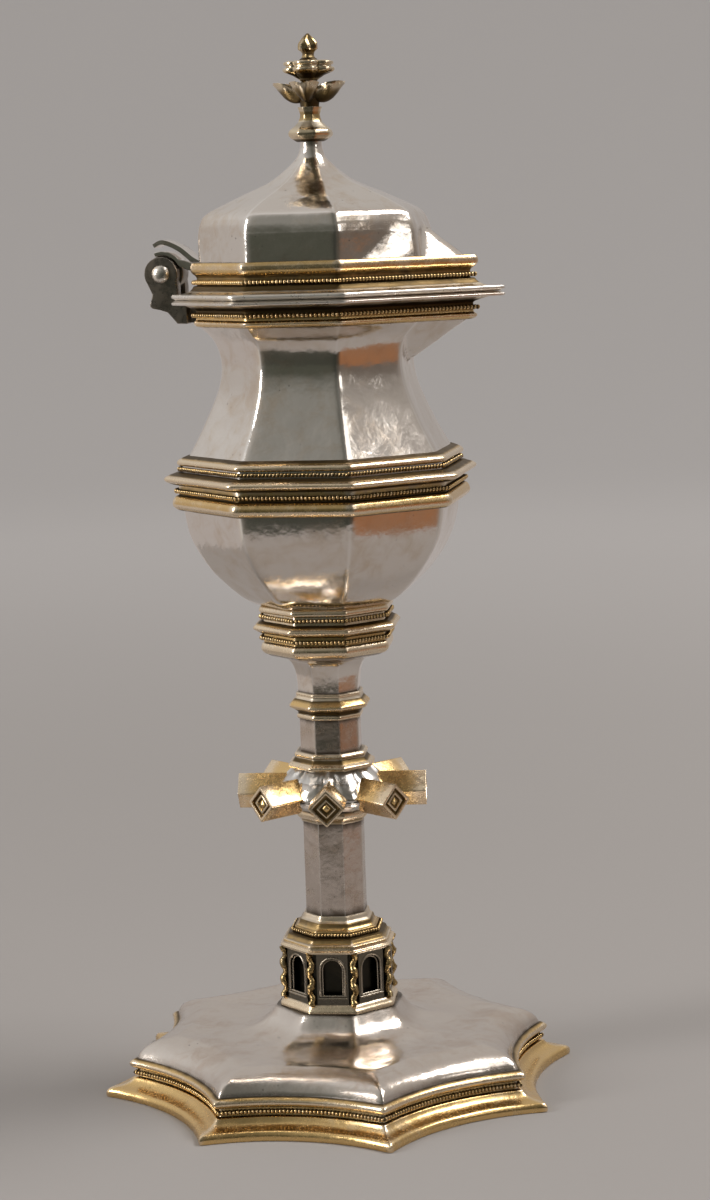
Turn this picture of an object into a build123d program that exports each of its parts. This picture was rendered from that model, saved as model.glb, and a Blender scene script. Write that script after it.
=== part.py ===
from build123d import *
import math
import os

# Lidded silver and silver-gilt vessel on an eight-pointed foot.
# The stem pieces are threaded on one tie rod, the lid turns on a pin at the back of the rim,
# and the beak of lid and rim points along +X.
# Millimetres.  The origin is on the resting plane, under the middle of the foot; +Z is up.

os.makedirs("parts", exist_ok=True)

# ---------------------------------------------------------------- driving dimensions
FACES = 8
FACE_STEP = 360 / FACES  # angle from one face to the next

SCALLOP_CENTRE = 106.9   # the hollow sides of the foot are arcs about points this far out
FOOT_EDGE = 53.9         # middle of a hollow side of the foot
BAND_FACE = 47.6         # upright band of the foot that carries the beaded wire
BAND_WALL = 1.0

STEM_TURN = 5            # the stem pieces sit a little turned on the rod
KNOP_TURN = 8
SHAFT_FACE = 7.95
SHAFT_BORE = 7.0
ROD_RADIUS = 3.0
ROD_HOLE = 3.2

COLLAR_WALL = 16.2       # faces of the upright walls that carry rings and wires
BELT_WALL = 34.6
BELT_BEAD_WALL = 35.6
RIM_WALL = 28.8
RIM_BEAD_WALL = 29.7
LID_WALL = 28.6
LID_BEAD_WALL = 29.3
FLANGE_FACE = 35.7
SHEET = 0.9              # thickness of the raised silver sheet

FOOT_BEAD_HEIGHT = 6.1   # heights of the middles of the beaded wires
ARCADE_BEAD_HEIGHT = 42.45
COLLAR_BEAD_HEIGHTS = (122.65, 128.35)
BELT_BEAD_HEIGHTS = (162.8, 168.5)
RIM_BEAD_HEIGHT = 208.45
LID_BEAD_HEIGHT = 216.9
WIRE = 1.3               # thickness of the beaded wires

FOOT_BAND_TOP = 7.3      # heights at which the pieces are stacked
FOOT_DOME_BASE = 9.9
RISER_TOP = 21.6
ARCADE_FLOOR = 24.0
ARCADE_TOP = 38.0
SHAFT_BASE = 46.8
KNOP_COLLAR_BASE = 72.0
KNOP_BASE = 75.4
KNOP_EQUATOR = 79.0
KNOP_TOP = 86.8
UPPER_SHAFT_BASE = 91.2
STEM_RING_BASE = 100.2
FLARE_BASE = 107.4
COLLAR_BASE = 118.2
COLLAR_LIP_BASE = 123.9
COLLAR_LIP_TOP = 127.1
COLLAR_CAP_BASE = 129.4
BOWL_BASE = 131.4
BELT_BASE = 157.6
BELT_LIP_BASE = 164.4
NECK_BASE = 163.0
BELT_ROPE_BASE = 167.6
BELT_CAP_BASE = 169.4
RIM_BASE = 205.3
RIM_FLANGE_BASE = 211.2
RIM_FLANGE_TOP = 212.4
LID_FLANGE_BASE = 212.5
LID_FLANGE_TOP = 213.9
LID_LIP_TOP = 222.0
SPIRE_PLUG = 248.6       # the spire is solid above this height
SPIRE_TOP = 252.3
LEAVES_BASE = 261.2
FLOWER_BASE = 267.0
BUD_BASE = 273.8
TOTAL_HEIGHT = 280.0

# ---------------------------------------------------------------- outlines and cutters
OCTAGON = "octagon"
BEAKED = "beaked"        # an octagon without its +X face: its neighbours run on to a point
STAR = "star"            # eight hollow sides meeting in eight points
BILLET_REACH = 1.6       # radius of a billet over its widest face distance: past every corner
CUT_MARGIN = 1.0         # the cutters run this far past both ends of the billet


def end_of(step):
    """The last point of a step, which is a point or the list of points of an arc or a curve."""
    return step[-1] if isinstance(step, list) else step


def draw_steps(steps):
    """Draw a line to each point, an arc through each pair and a smooth curve through longer lists."""
    here = steps[0]
    for step in steps[1:]:
        if not isinstance(step, list):
            Line(here, step)
        elif len(step) == 2:
            ThreePointArc(here, *step)
        else:
            Spline(here, *step)
        here = end_of(step)


def planed(steps, outline=OCTAGON, turn=0.0):
    """A billet on the axis with one cutter run along every face of its outline.

    The steps go upwards, and each point is (distance of the face from the axis, height).
    """
    ends = [end_of(step) for step in steps]
    bottom = ends[0][1]
    top = ends[-1][1]
    billet = BILLET_REACH * max(face for face, _ in ends)
    far = SCALLOP_CENTRE if outline == STAR else 2 * billet
    low = bottom - CUT_MARGIN
    high = top + CUT_MARGIN
    path = [(far, low), (ends[0][0], low), *steps, (ends[-1][0], high), (far, high), (far, low)]
    with BuildPart() as cutter:
        with BuildSketch(Plane.XZ):
            with BuildLine():
                draw_steps(path)
            make_face()
        if outline == STAR:
            revolve(axis=Axis((far, 0, 0), (0, 0, 1)))
        else:
            extrude(amount=far, both=True)
    first_face = 1 if outline == BEAKED else 0
    with BuildPart() as billet_part:
        with BuildSketch(Plane.XY.offset(bottom)):
            Circle(billet)
        extrude(amount=top - bottom)
        for face in range(first_face, FACES):
            add(cutter.part, rotation=(0, 0, turn + face * FACE_STEP), mode=Mode.SUBTRACT)
    return billet_part.part


def prism(face, bottom, top, outline=OCTAGON, turn=0.0):
    """An upright prism of the outline."""
    return planed([(face, bottom), (face, top)], outline, turn)


def wire_steps(wall, height, thickness=WIRE):
    """Section of a wire that lies against an upright wall: a half-round front on a flat back."""
    radius = thickness / 2
    shoulder = wall + thickness - radius
    return [
        (wall, height - radius),
        (shoulder, height - radius),
        [(wall + thickness, height), (shoulder, height + radius)],
        (wall, height + radius),
    ]


def shifted(steps, inward, upward):
    """The same steps moved towards the axis and upwards."""
    def move(point):
        return (point[0] - inward, point[1] + upward)
    return [[move(point) for point in step] if isinstance(step, list) else move(step)
            for step in steps]


def beak_wedge(face, base_height, keel_distance, keel_height):
    """The flat-sided wedge between the beaked outline at one height and a point on the +X face."""
    corner = face * math.tan(math.radians(FACE_STEP / 2))
    keel = Vector(keel_distance, 0, keel_height)
    with BuildPart() as wedge:
        with BuildSketch(Plane.XY.offset(base_height)):
            with BuildLine():
                Polyline((corner, -face), (face * math.sqrt(2), 0), (corner, face), close=True)
            make_face()
        loft(sections=[wedge.pending_faces[0], Vertex(keel)], clean=False)
    return wedge.part


def finish_part(part, name):
    """Name the piece and write it."""
    part.label = name
    export_step(part, f"parts/{name}.step")


# ---------------------------------------------------------------- foot
foot_flange_outside = [
    (FOOT_EDGE, 0),
    (FOOT_EDGE, 1.7),
    [(53.6, 2.3), (52.9, 2.6)],
    [(50.3, 3.3), (48.8, 4.9)],
    (BAND_FACE, 4.9),
    (BAND_FACE, FOOT_BAND_TOP),
]
foot_flange_inside = [
    (52.0, 0),
    (52.0, 1.2),
    [(49.3, 2.2), (47.8, 3.9)],
    (BAND_FACE - BAND_WALL, 3.9),
    (BAND_FACE - BAND_WALL, FOOT_BAND_TOP),
]
flange_solid = planed(foot_flange_outside, STAR)
flange_hollow = planed(foot_flange_inside, STAR)
with BuildPart() as foot_flange:
    add(flange_solid)
    add(flange_hollow, mode=Mode.SUBTRACT)
finish_part(foot_flange.part, "foot_flange")

foot_bead_solid = planed(wire_steps(BAND_FACE, FOOT_BEAD_HEIGHT), STAR)
foot_band = prism(BAND_FACE, FOOT_BEAD_HEIGHT - WIRE, FOOT_BEAD_HEIGHT + WIRE, STAR)
with BuildPart() as foot_bead_wire:
    add(foot_bead_solid)
    add(foot_band, mode=Mode.SUBTRACT)
finish_part(foot_bead_wire.part, "foot_bead_wire")

foot_lip_steps = [
    (48.3, FOOT_BAND_TOP),
    [(49.5, 8.5), (48.9, 9.6)],
    (48.3, FOOT_DOME_BASE),
]
foot_lip_solid = planed(foot_lip_steps, STAR)
foot_lip_hole = prism(BAND_FACE - BAND_WALL, FOOT_BAND_TOP, FOOT_DOME_BASE, STAR)
with BuildPart() as foot_lip_molding:
    add(foot_lip_solid)
    add(foot_lip_hole, mode=Mode.SUBTRACT)
finish_part(foot_lip_molding.part, "foot_lip_molding")

# The dome: a cushion above the lip, a nearly flat top and a steep riser under the stem.
foot_dome_steps = [
    (48.0, FOOT_DOME_BASE),
    [(47.5, 11.4), (46.2, 13.0), (44.4, 13.8)],
    [(34.0, 14.4), (25.5, 15.5), (21.4, 17.4), (16.1, RISER_TOP)],
]
foot_dome_inner_steps = [
    (47.0, FOOT_DOME_BASE),
    [(46.5, 11.0), (45.5, 12.2), (43.9, 12.9)],
    [(34.0, 13.4), (25.2, 14.4), (20.6, 16.3), (16.2, 20.0)],
]
foot_dome_solid = planed(foot_dome_steps, STAR)
foot_dome_hollow = planed(foot_dome_inner_steps, STAR)
with BuildPart() as foot_dome:
    add(foot_dome_solid)
    add(foot_dome_hollow, mode=Mode.SUBTRACT)
    with Locations((0, 0, RISER_TOP)):
        Hole(ROD_HOLE)
finish_part(foot_dome.part, "foot_dome")

# ---------------------------------------------------------------- tie rod under foot and bowl
RISER_CEILING = 20.0
WASHER_THICKNESS = 1.2
WASHER_RADIUS = 9.0
NUT_HEIGHT = 4.0
NUT_WIDTH = 10.0
ROD_END = 12.4
ROD_HEAD_RADIUS = 12.0
ROD_HEAD_THICKNESS = 1.2

with BuildPart() as foot_washer:
    with BuildSketch(Plane.XY.offset(RISER_CEILING - WASHER_THICKNESS)):
        Circle(WASHER_RADIUS)
        Circle(ROD_HOLE, mode=Mode.SUBTRACT)
    extrude(amount=WASHER_THICKNESS)
finish_part(foot_washer.part, "foot_washer")

nut_base = RISER_CEILING - WASHER_THICKNESS - NUT_HEIGHT
with BuildPart() as tie_rod_nut:
    with BuildSketch(Plane.XY.offset(nut_base)):
        RegularPolygon(NUT_WIDTH / 2, 6, major_radius=False)
        Circle(ROD_RADIUS, mode=Mode.SUBTRACT)
    extrude(amount=NUT_HEIGHT)
finish_part(tie_rod_nut.part, "tie_rod_nut")

with BuildPart() as tie_rod:
    with BuildSketch(Plane.XY.offset(ROD_END)):
        Circle(ROD_RADIUS)
    extrude(amount=BOWL_BASE - ROD_END)
    with BuildSketch(Plane.XY.offset(BOWL_BASE - ROD_HEAD_THICKNESS)):
        Circle(ROD_HEAD_RADIUS)
    extrude(amount=ROD_HEAD_THICKNESS)
finish_part(tie_rod.part, "tie_rod")

# ---------------------------------------------------------------- arcade
WALL_FACE = 13.3
WALL_BORE = 10.4
NICHE_WIDTH = 6.0
NICHE_SILL = 26.4
NICHE_SPRING = 33.6
NICHE_DEPTH = 1.5
FRAME_WIDTH = 8.4
FRAME_THICKNESS = 0.8
FRAME_STEP = 0.6         # the frames stand back from the edge of the niches
BUTTRESS_DISTANCE = 15.0
BUTTRESS_SWAY = 0.45
BUTTRESS_RADIUS = 0.85
BUTTRESS_WAVES = 3
BUTTRESS_GAP = 0.01      # the buttresses stop just short of the wall

arcade_base_steps = [(15.4, RISER_TOP), (15.5, 22.5), (14.9, 23.3), (14.3, ARCADE_FLOOR)]
arcade_base_solid = planed(arcade_base_steps, turn=STEM_TURN)
with BuildPart() as arcade_base:
    add(arcade_base_solid)
    with Locations((0, 0, ARCADE_FLOOR)):
        Hole(ROD_HOLE)
finish_part(arcade_base.part, "arcade_base")

arcade_wall_solid = prism(WALL_FACE, ARCADE_FLOOR, ARCADE_TOP, turn=STEM_TURN)
arcade_wall_bore = prism(WALL_BORE, ARCADE_FLOOR, ARCADE_TOP, turn=STEM_TURN)


def face_plane(face, height, turn):
    """The plane of the face that looks along the turned +X direction, its x axis level."""
    angle = math.radians(turn)
    outward = (math.cos(angle), math.sin(angle), 0)
    across = (-math.sin(angle), math.cos(angle), 0)
    return Plane(origin=(face * outward[0], face * outward[1], height), x_dir=across, z_dir=outward)


def draw_arch(half, sill, spring):
    """The edge of a round-headed opening with a level sill; half is half its width."""
    Polyline((-half, spring), (-half, sill), (half, sill), (half, spring))
    ThreePointArc((half, spring), (0, spring + half), (-half, spring))


with BuildPart() as niche_cutter:
    with BuildSketch(face_plane(WALL_FACE - NICHE_DEPTH, 0, STEM_TURN)):
        with BuildLine():
            draw_arch(NICHE_WIDTH / 2, NICHE_SILL, NICHE_SPRING)
        make_face()
    extrude(amount=2 * NICHE_DEPTH)

with BuildPart() as arcade_wall:
    add(arcade_wall_solid)
    add(arcade_wall_bore, mode=Mode.SUBTRACT)
    with PolarLocations(0, FACES):
        add(niche_cutter.part, mode=Mode.SUBTRACT)
finish_part(arcade_wall.part, "arcade_wall")

with BuildPart() as window_frame:
    with BuildSketch(face_plane(WALL_FACE, 0, STEM_TURN)):
        with Locations((0, (ARCADE_FLOOR + ARCADE_TOP) / 2)):
            Rectangle(FRAME_WIDTH, ARCADE_TOP - ARCADE_FLOOR)
        with BuildLine():
            draw_arch(NICHE_WIDTH / 2 + FRAME_STEP, NICHE_SILL - FRAME_STEP, NICHE_SPRING)
        make_face(mode=Mode.SUBTRACT)
    extrude(amount=FRAME_THICKNESS)
with BuildPart() as window_frames:
    with PolarLocations(0, FACES):
        add(window_frame.part)
finish_part(window_frames.part, "window_frames")

buttress_angle = math.radians(STEM_TURN + FACE_STEP / 2)


def buttress_point(fraction):
    """A point of the wavy buttress line: it sways in and out while it climbs."""
    sway = BUTTRESS_SWAY * math.cos(2 * math.pi * BUTTRESS_WAVES * fraction)
    distance = BUTTRESS_DISTANCE + sway
    height = ARCADE_FLOOR + fraction * (ARCADE_TOP - ARCADE_FLOOR)
    return (distance * math.cos(buttress_angle), distance * math.sin(buttress_angle), height)


window_block = prism(
    WALL_FACE + BUTTRESS_GAP, ARCADE_FLOOR - CUT_MARGIN, ARCADE_TOP + CUT_MARGIN, turn=STEM_TURN)
buttress_steps = 4 * BUTTRESS_WAVES
buttress_line = [buttress_point(step / buttress_steps) for step in range(buttress_steps + 1)]
with BuildPart() as buttress:
    with BuildLine():
        Spline(*buttress_line, tangents=[(0, 0, 1), (0, 0, 1)])
    with BuildSketch(Plane(origin=buttress_point(0), z_dir=(0, 0, 1))):
        Circle(BUTTRESS_RADIUS)
    sweep()
    add(window_block, mode=Mode.SUBTRACT)
with BuildPart() as arcade_buttresses:
    with PolarLocations(0, FACES):
        add(buttress.part)
finish_part(arcade_buttresses.part, "arcade_buttresses")

ARCADE_BEAD_WALL = 11.1
arcade_cornice_steps = [
    (14.9, ARCADE_TOP),
    (15.0, 38.6),
    (14.2, 39.0),
    (14.2, 40.0),
    (13.2, 40.5),
    (12.4, 41.5),
    (ARCADE_BEAD_WALL, 41.7),
    (ARCADE_BEAD_WALL, 43.2),
    (9.9, 43.9),
    (9.7, 44.9),
    (8.8, 45.5),
    (8.5, SHAFT_BASE),
]
arcade_cornice_solid = planed(arcade_cornice_steps, turn=STEM_TURN)
with BuildPart() as arcade_cornice:
    add(arcade_cornice_solid)
    with Locations((0, 0, SHAFT_BASE)):
        Hole(ROD_HOLE)
finish_part(arcade_cornice.part, "arcade_cornice")

ARCADE_WIRE = 1.0
arcade_bead_solid = planed(
    wire_steps(ARCADE_BEAD_WALL, ARCADE_BEAD_HEIGHT, ARCADE_WIRE), turn=STEM_TURN)
arcade_bead_hole = prism(
    ARCADE_BEAD_WALL, ARCADE_BEAD_HEIGHT - WIRE, ARCADE_BEAD_HEIGHT + WIRE, turn=STEM_TURN)
with BuildPart() as arcade_bead_wire:
    add(arcade_bead_solid)
    add(arcade_bead_hole, mode=Mode.SUBTRACT)
finish_part(arcade_bead_wire.part, "arcade_bead_wire")

# ---------------------------------------------------------------- stem
lower_shaft_solid = prism(SHAFT_FACE, SHAFT_BASE, KNOP_COLLAR_BASE, turn=STEM_TURN)
lower_shaft_bore = prism(SHAFT_BORE, SHAFT_BASE, KNOP_COLLAR_BASE, turn=STEM_TURN)
with BuildPart() as lower_shaft:
    add(lower_shaft_solid)
    add(lower_shaft_bore, mode=Mode.SUBTRACT)
finish_part(lower_shaft.part, "lower_shaft")

lower_collar_steps = [
    (8.3, KNOP_COLLAR_BASE),
    (8.4, 72.6),
    (9.1, 73.2),
    (9.7, 74.2),
    (9.5, KNOP_BASE),
]
lower_collar_solid = planed(lower_collar_steps, turn=STEM_TURN)
with BuildPart() as lower_knop_collar:
    add(lower_collar_solid)
    with Locations((0, 0, KNOP_BASE)):
        Hole(ROD_HOLE)
finish_part(lower_knop_collar.part, "lower_knop_collar")

# The knop: two shells that meet at the equator, with eight square bosses set on edge.
BOSS_SIDE = 6.9
BOSS_HEIGHT = 80.0
BOSS_ROOT = 9.0          # the holes for the bosses start here, the bosses themselves further out
BOSS_INNER = 12.0
BOSS_END = 25.3
BOSS_RECESS = 1.0
BOSS_RIM = 0.8
KNOP_FACE = 15.6
KNOP_SHELL = 1.2
KNOP_HOLLOW_END = 7.6    # faces of the hollow at its narrow ends
KNOP_HOLLOW_MIDDLE = 12.0

with BuildPart() as boss_bar:
    with BuildSketch(face_plane(BOSS_ROOT, BOSS_HEIGHT, KNOP_TURN)):
        Rectangle(BOSS_SIDE, BOSS_SIDE, rotation=45)
    extrude(amount=BOSS_END - BOSS_ROOT)

knop_lower_steps = [(9.7, KNOP_BASE), [(12.6, 76.4), (KNOP_FACE, KNOP_EQUATOR)]]
knop_upper_steps = [(KNOP_FACE, KNOP_EQUATOR), [(14.7, 82.8), (12.2, 85.4), (10.4, KNOP_TOP)]]
knop_lower_solid = planed(knop_lower_steps, turn=KNOP_TURN)
knop_upper_solid = planed(knop_upper_steps, turn=KNOP_TURN)
knop_lower_hollow = planed(
    [(KNOP_HOLLOW_END, KNOP_BASE + KNOP_SHELL), (KNOP_HOLLOW_MIDDLE, KNOP_EQUATOR)], turn=KNOP_TURN)
knop_upper_hollow = planed(
    [(KNOP_HOLLOW_MIDDLE, KNOP_EQUATOR), (KNOP_HOLLOW_END, KNOP_TOP - KNOP_SHELL)], turn=KNOP_TURN)

with BuildPart() as knop_lower_shell:
    add(knop_lower_solid)
    add(knop_lower_hollow, mode=Mode.SUBTRACT)
    with PolarLocations(0, FACES):
        add(boss_bar.part, mode=Mode.SUBTRACT)
    with Locations((0, 0, KNOP_EQUATOR)):
        Hole(ROD_HOLE)
finish_part(knop_lower_shell.part, "knop_lower_shell")

with BuildPart() as knop_upper_shell:
    add(knop_upper_solid)
    add(knop_upper_hollow, mode=Mode.SUBTRACT)
    with PolarLocations(0, FACES):
        add(boss_bar.part, mode=Mode.SUBTRACT)
    with Locations((0, 0, KNOP_TOP)):
        Hole(ROD_HOLE)
finish_part(knop_upper_shell.part, "knop_upper_shell")

boss_recess_side = BOSS_SIDE - 2 * BOSS_RIM
boss_keep_out = prism(BOSS_INNER, KNOP_COLLAR_BASE, UPPER_SHAFT_BASE, turn=KNOP_TURN)
with BuildPart() as boss:
    add(boss_bar.part)
    add(boss_keep_out, mode=Mode.SUBTRACT)
    with BuildSketch(face_plane(BOSS_END - BOSS_RECESS, BOSS_HEIGHT, KNOP_TURN)):
        Rectangle(boss_recess_side, boss_recess_side, rotation=45)
    extrude(amount=2 * BOSS_RECESS, mode=Mode.SUBTRACT)
with BuildPart() as knop_bosses:
    with PolarLocations(0, FACES):
        add(boss.part)
finish_part(knop_bosses.part, "knop_bosses")

FRAME_SIDE = 3.9
FRAME_RIM = 0.6
STUD_SIDE = 1.9
STUD_HEIGHT = 0.7
STUD_SLOPE = 40          # taper of the stud's sides in degrees
with BuildPart() as boss_frame:
    with BuildSketch(face_plane(BOSS_END - BOSS_RECESS, BOSS_HEIGHT, KNOP_TURN)):
        Rectangle(FRAME_SIDE, FRAME_SIDE, rotation=45)
        inner_side = FRAME_SIDE - 2 * FRAME_RIM
        Rectangle(inner_side, inner_side, rotation=45, mode=Mode.SUBTRACT)
    extrude(amount=STUD_HEIGHT)
with BuildPart() as boss_frames:
    with PolarLocations(0, FACES):
        add(boss_frame.part)
finish_part(boss_frames.part, "boss_frames")

with BuildPart() as boss_stud:
    with BuildSketch(face_plane(BOSS_END - BOSS_RECESS, BOSS_HEIGHT, KNOP_TURN)):
        Rectangle(STUD_SIDE, STUD_SIDE, rotation=45)
    extrude(amount=STUD_HEIGHT, taper=STUD_SLOPE)
with BuildPart() as boss_studs:
    with PolarLocations(0, FACES):
        add(boss_stud.part)
finish_part(boss_studs.part, "boss_studs")

upper_collar_steps = [
    (10.7, KNOP_TOP),
    (11.3, 87.3),
    (11.3, 87.9),
    [(10.0, 88.8), (9.2, 90.0)],
    (9.5, 90.4),
    (9.0, UPPER_SHAFT_BASE),
]
upper_collar_solid = planed(upper_collar_steps, turn=STEM_TURN)
with BuildPart() as upper_knop_collar:
    add(upper_collar_solid)
    with Locations((0, 0, UPPER_SHAFT_BASE)):
        Hole(ROD_HOLE)
finish_part(upper_knop_collar.part, "upper_knop_collar")

upper_shaft_solid = prism(SHAFT_FACE, UPPER_SHAFT_BASE, STEM_RING_BASE, turn=STEM_TURN)
upper_shaft_bore = prism(SHAFT_BORE, UPPER_SHAFT_BASE, STEM_RING_BASE, turn=STEM_TURN)
with BuildPart() as upper_shaft:
    add(upper_shaft_solid)
    add(upper_shaft_bore, mode=Mode.SUBTRACT)
finish_part(upper_shaft.part, "upper_shaft")

stem_ring_steps = [
    (8.4, STEM_RING_BASE),
    (8.5, 101.3),
    (8.1, 101.8),
    (8.7, 102.5),
    (10.4, 103.3),
    (10.5, 104.1),
    [(9.0, 105.6), (8.6, 106.6)],
    (8.4, FLARE_BASE),
]
stem_ring_solid = planed(stem_ring_steps, turn=STEM_TURN)
with BuildPart() as stem_ring:
    add(stem_ring_solid)
    with Locations((0, 0, FLARE_BASE)):
        Hole(ROD_HOLE)
finish_part(stem_ring.part, "stem_ring")

flare_steps = [(8.1, FLARE_BASE), [(8.6, 112.9), (9.9, 116.0), (12.2, 117.4), (15.6, COLLAR_BASE)]]
flare_inner_steps = [(7.1, FLARE_BASE), [(7.6, 113.3), (8.9, 116.7), (10.8, COLLAR_BASE)]]
flare_solid = planed(flare_steps, turn=STEM_TURN)
flare_hollow = planed(flare_inner_steps, turn=STEM_TURN)
with BuildPart() as bowl_stem_flare:
    add(flare_solid)
    add(flare_hollow, mode=Mode.SUBTRACT)
finish_part(bowl_stem_flare.part, "bowl_stem_flare")

# ---------------------------------------------------------------- collar under the bowl
COLLAR_BORE = 15.0
COLLAR_FLOOR = 1.5       # thickness of the collar's floor
COLLAR_HOLE = 7.0        # radius of the hole in the floor
collar_core_steps = [
    (15.8, COLLAR_BASE),
    (16.8, 119.0),
    (17.1, 120.1),
    (17.0, 121.0),
    (COLLAR_WALL, 121.6),
    (COLLAR_WALL, COLLAR_CAP_BASE),
]
collar_core_solid = planed(collar_core_steps, turn=STEM_TURN)
collar_bore = prism(COLLAR_BORE, COLLAR_BASE + COLLAR_FLOOR, BOWL_BASE, turn=STEM_TURN)
with BuildPart() as bowl_collar_core:
    add(collar_core_solid)
    add(collar_bore, mode=Mode.SUBTRACT)
    with Locations((0, 0, COLLAR_CAP_BASE)):
        Hole(COLLAR_HOLE)
finish_part(bowl_collar_core.part, "bowl_collar_core")

collar_hole = prism(COLLAR_WALL, COLLAR_BASE, BOWL_BASE, turn=STEM_TURN)
collar_wires = [planed(wire_steps(COLLAR_WALL, height), turn=STEM_TURN)
                for height in COLLAR_BEAD_HEIGHTS]
with BuildPart() as collar_bead_lower:
    add(collar_wires[0])
    add(collar_hole, mode=Mode.SUBTRACT)
finish_part(collar_bead_lower.part, "collar_bead_lower")

with BuildPart() as collar_bead_upper:
    add(collar_wires[1])
    add(collar_hole, mode=Mode.SUBTRACT)
finish_part(collar_bead_upper.part, "collar_bead_upper")

collar_lip_steps = [
    (16.9, COLLAR_LIP_BASE),
    (18.5, 124.8),
    (19.0, 125.4),
    (18.6, 126.1),
    (17.0, COLLAR_LIP_TOP),
]
collar_lip_solid = planed(collar_lip_steps, turn=STEM_TURN)
with BuildPart() as bowl_collar_lip:
    add(collar_lip_solid)
    add(collar_hole, mode=Mode.SUBTRACT)
finish_part(bowl_collar_lip.part, "bowl_collar_lip")

collar_cap_steps = [(17.0, COLLAR_CAP_BASE), (17.3, 130.2), (17.1, 130.9), (16.6, BOWL_BASE)]
collar_cap_solid = planed(collar_cap_steps, turn=STEM_TURN)
with BuildPart() as bowl_collar_cap:
    add(collar_cap_solid)
    add(collar_bore, mode=Mode.SUBTRACT)
finish_part(bowl_collar_cap.part, "bowl_collar_cap")

# ---------------------------------------------------------------- bowl and belt
bowl_steps = [
    (17.4, BOWL_BASE),
    [(21.6, 134.0), (28.1, 140.8), (32.8, 149.0), (BELT_WALL, BELT_BASE)],
    (BELT_WALL, NECK_BASE),
]
bowl_solid = planed(bowl_steps)
bowl_hollow = planed(shifted(bowl_steps, SHEET, SHEET))
with BuildPart() as bowl_shell:
    add(bowl_solid)
    add(bowl_hollow, mode=Mode.SUBTRACT)
finish_part(bowl_shell.part, "bowl_shell")

belt_hole = prism(BELT_WALL, BELT_BASE, BELT_CAP_BASE)
belt_molding_steps = [
    (35.6, BELT_BASE),
    (36.8, 158.3),
    (37.4, 159.4),
    (37.3, 160.6),
    (36.6, 161.4),
    (BELT_BEAD_WALL, 161.7),
    (BELT_BEAD_WALL, BELT_LIP_BASE),
]
belt_molding_solid = planed(belt_molding_steps)
with BuildPart() as belt_lower_molding:
    add(belt_molding_solid)
    add(belt_hole, mode=Mode.SUBTRACT)
finish_part(belt_lower_molding.part, "belt_lower_molding")

belt_bead_solid = planed(wire_steps(BELT_BEAD_WALL, BELT_BEAD_HEIGHTS[0]))
belt_bead_hole = prism(BELT_BEAD_WALL, BELT_BASE, BELT_LIP_BASE)
with BuildPart() as belt_bead_lower:
    add(belt_bead_solid)
    add(belt_bead_hole, mode=Mode.SUBTRACT)
finish_part(belt_bead_lower.part, "belt_bead_lower")

belt_lip_steps = [
    (36.6, BELT_LIP_BASE),
    (38.7, 165.3),
    (39.2, 166.0),
    (38.7, 166.8),
    (36.2, BELT_ROPE_BASE),
]
belt_lip_solid = planed(belt_lip_steps)
with BuildPart() as belt_lip:
    add(belt_lip_solid)
    add(belt_hole, mode=Mode.SUBTRACT)
finish_part(belt_lip.part, "belt_lip")

belt_rope_solid = planed(wire_steps(BELT_WALL, BELT_BEAD_HEIGHTS[1]))
with BuildPart() as belt_rope_upper:
    add(belt_rope_solid)
    add(belt_hole, mode=Mode.SUBTRACT)
finish_part(belt_rope_upper.part, "belt_rope_upper")

# The neck narrows to a waist and opens again; a keeled spout runs up to the beak of the rim.
SPOUT_KEEL = (24.4, 194.6)
neck_steps = [
    (BELT_WALL, NECK_BASE),
    (BELT_WALL, BELT_CAP_BASE),
    (33.0, 171.3),
    [(28.5, 180.3), (25.1, 188.8), (24.1, 195.4), (25.4, 201.2), (RIM_WALL, RIM_BASE)],
]
neck_solid = planed(neck_steps)
neck_hollow = planed(shifted(neck_steps, SHEET, 0))
throat_solid = prism(RIM_WALL, RIM_BASE, RIM_FLANGE_BASE, BEAKED)
throat_hollow = prism(RIM_WALL - SHEET, RIM_BASE, RIM_FLANGE_BASE, BEAKED)
spout_solid = beak_wedge(RIM_WALL, RIM_BASE, *SPOUT_KEEL)
spout_hollow = beak_wedge(RIM_WALL - SHEET, RIM_BASE, SPOUT_KEEL[0] - SHEET, SPOUT_KEEL[1] + SHEET)
with BuildPart() as neck_shell:
    add(neck_solid)
    add(spout_solid)
    add(throat_solid)
    add(neck_hollow, mode=Mode.SUBTRACT)
    add(spout_hollow, mode=Mode.SUBTRACT)
    add(throat_hollow, mode=Mode.SUBTRACT)
finish_part(neck_shell.part, "neck_shell")

belt_cap_steps = [(35.5, BELT_CAP_BASE), (35.9, 170.1), (35.5, 170.9), (33.2, 172.0)]
belt_cap_solid = planed(belt_cap_steps)
with BuildPart() as belt_upper_molding:
    add(belt_cap_solid)
    add(neck_solid, mode=Mode.SUBTRACT)
finish_part(belt_upper_molding.part, "belt_upper_molding")

# ---------------------------------------------------------------- rim of the bowl
rim_molding_steps = [
    (29.2, RIM_BASE),
    (30.2, 205.7),
    (30.4, 206.5),
    (RIM_BEAD_WALL, 207.2),
    (RIM_BEAD_WALL, 209.7),
    [(30.6, 210.3), (32.8, RIM_FLANGE_BASE)],
]
rim_molding_solid = planed(rim_molding_steps, BEAKED)
with BuildPart() as rim_molding:
    add(rim_molding_solid)
    add(throat_solid, mode=Mode.SUBTRACT)
finish_part(rim_molding.part, "rim_molding")

rim_bead_solid = planed(wire_steps(RIM_BEAD_WALL, RIM_BEAD_HEIGHT), BEAKED)
rim_bead_hole = prism(RIM_BEAD_WALL, RIM_BASE, RIM_FLANGE_BASE, BEAKED)
with BuildPart() as rim_bead_wire:
    add(rim_bead_solid)
    add(rim_bead_hole, mode=Mode.SUBTRACT)
finish_part(rim_bead_wire.part, "rim_bead_wire")

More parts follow.
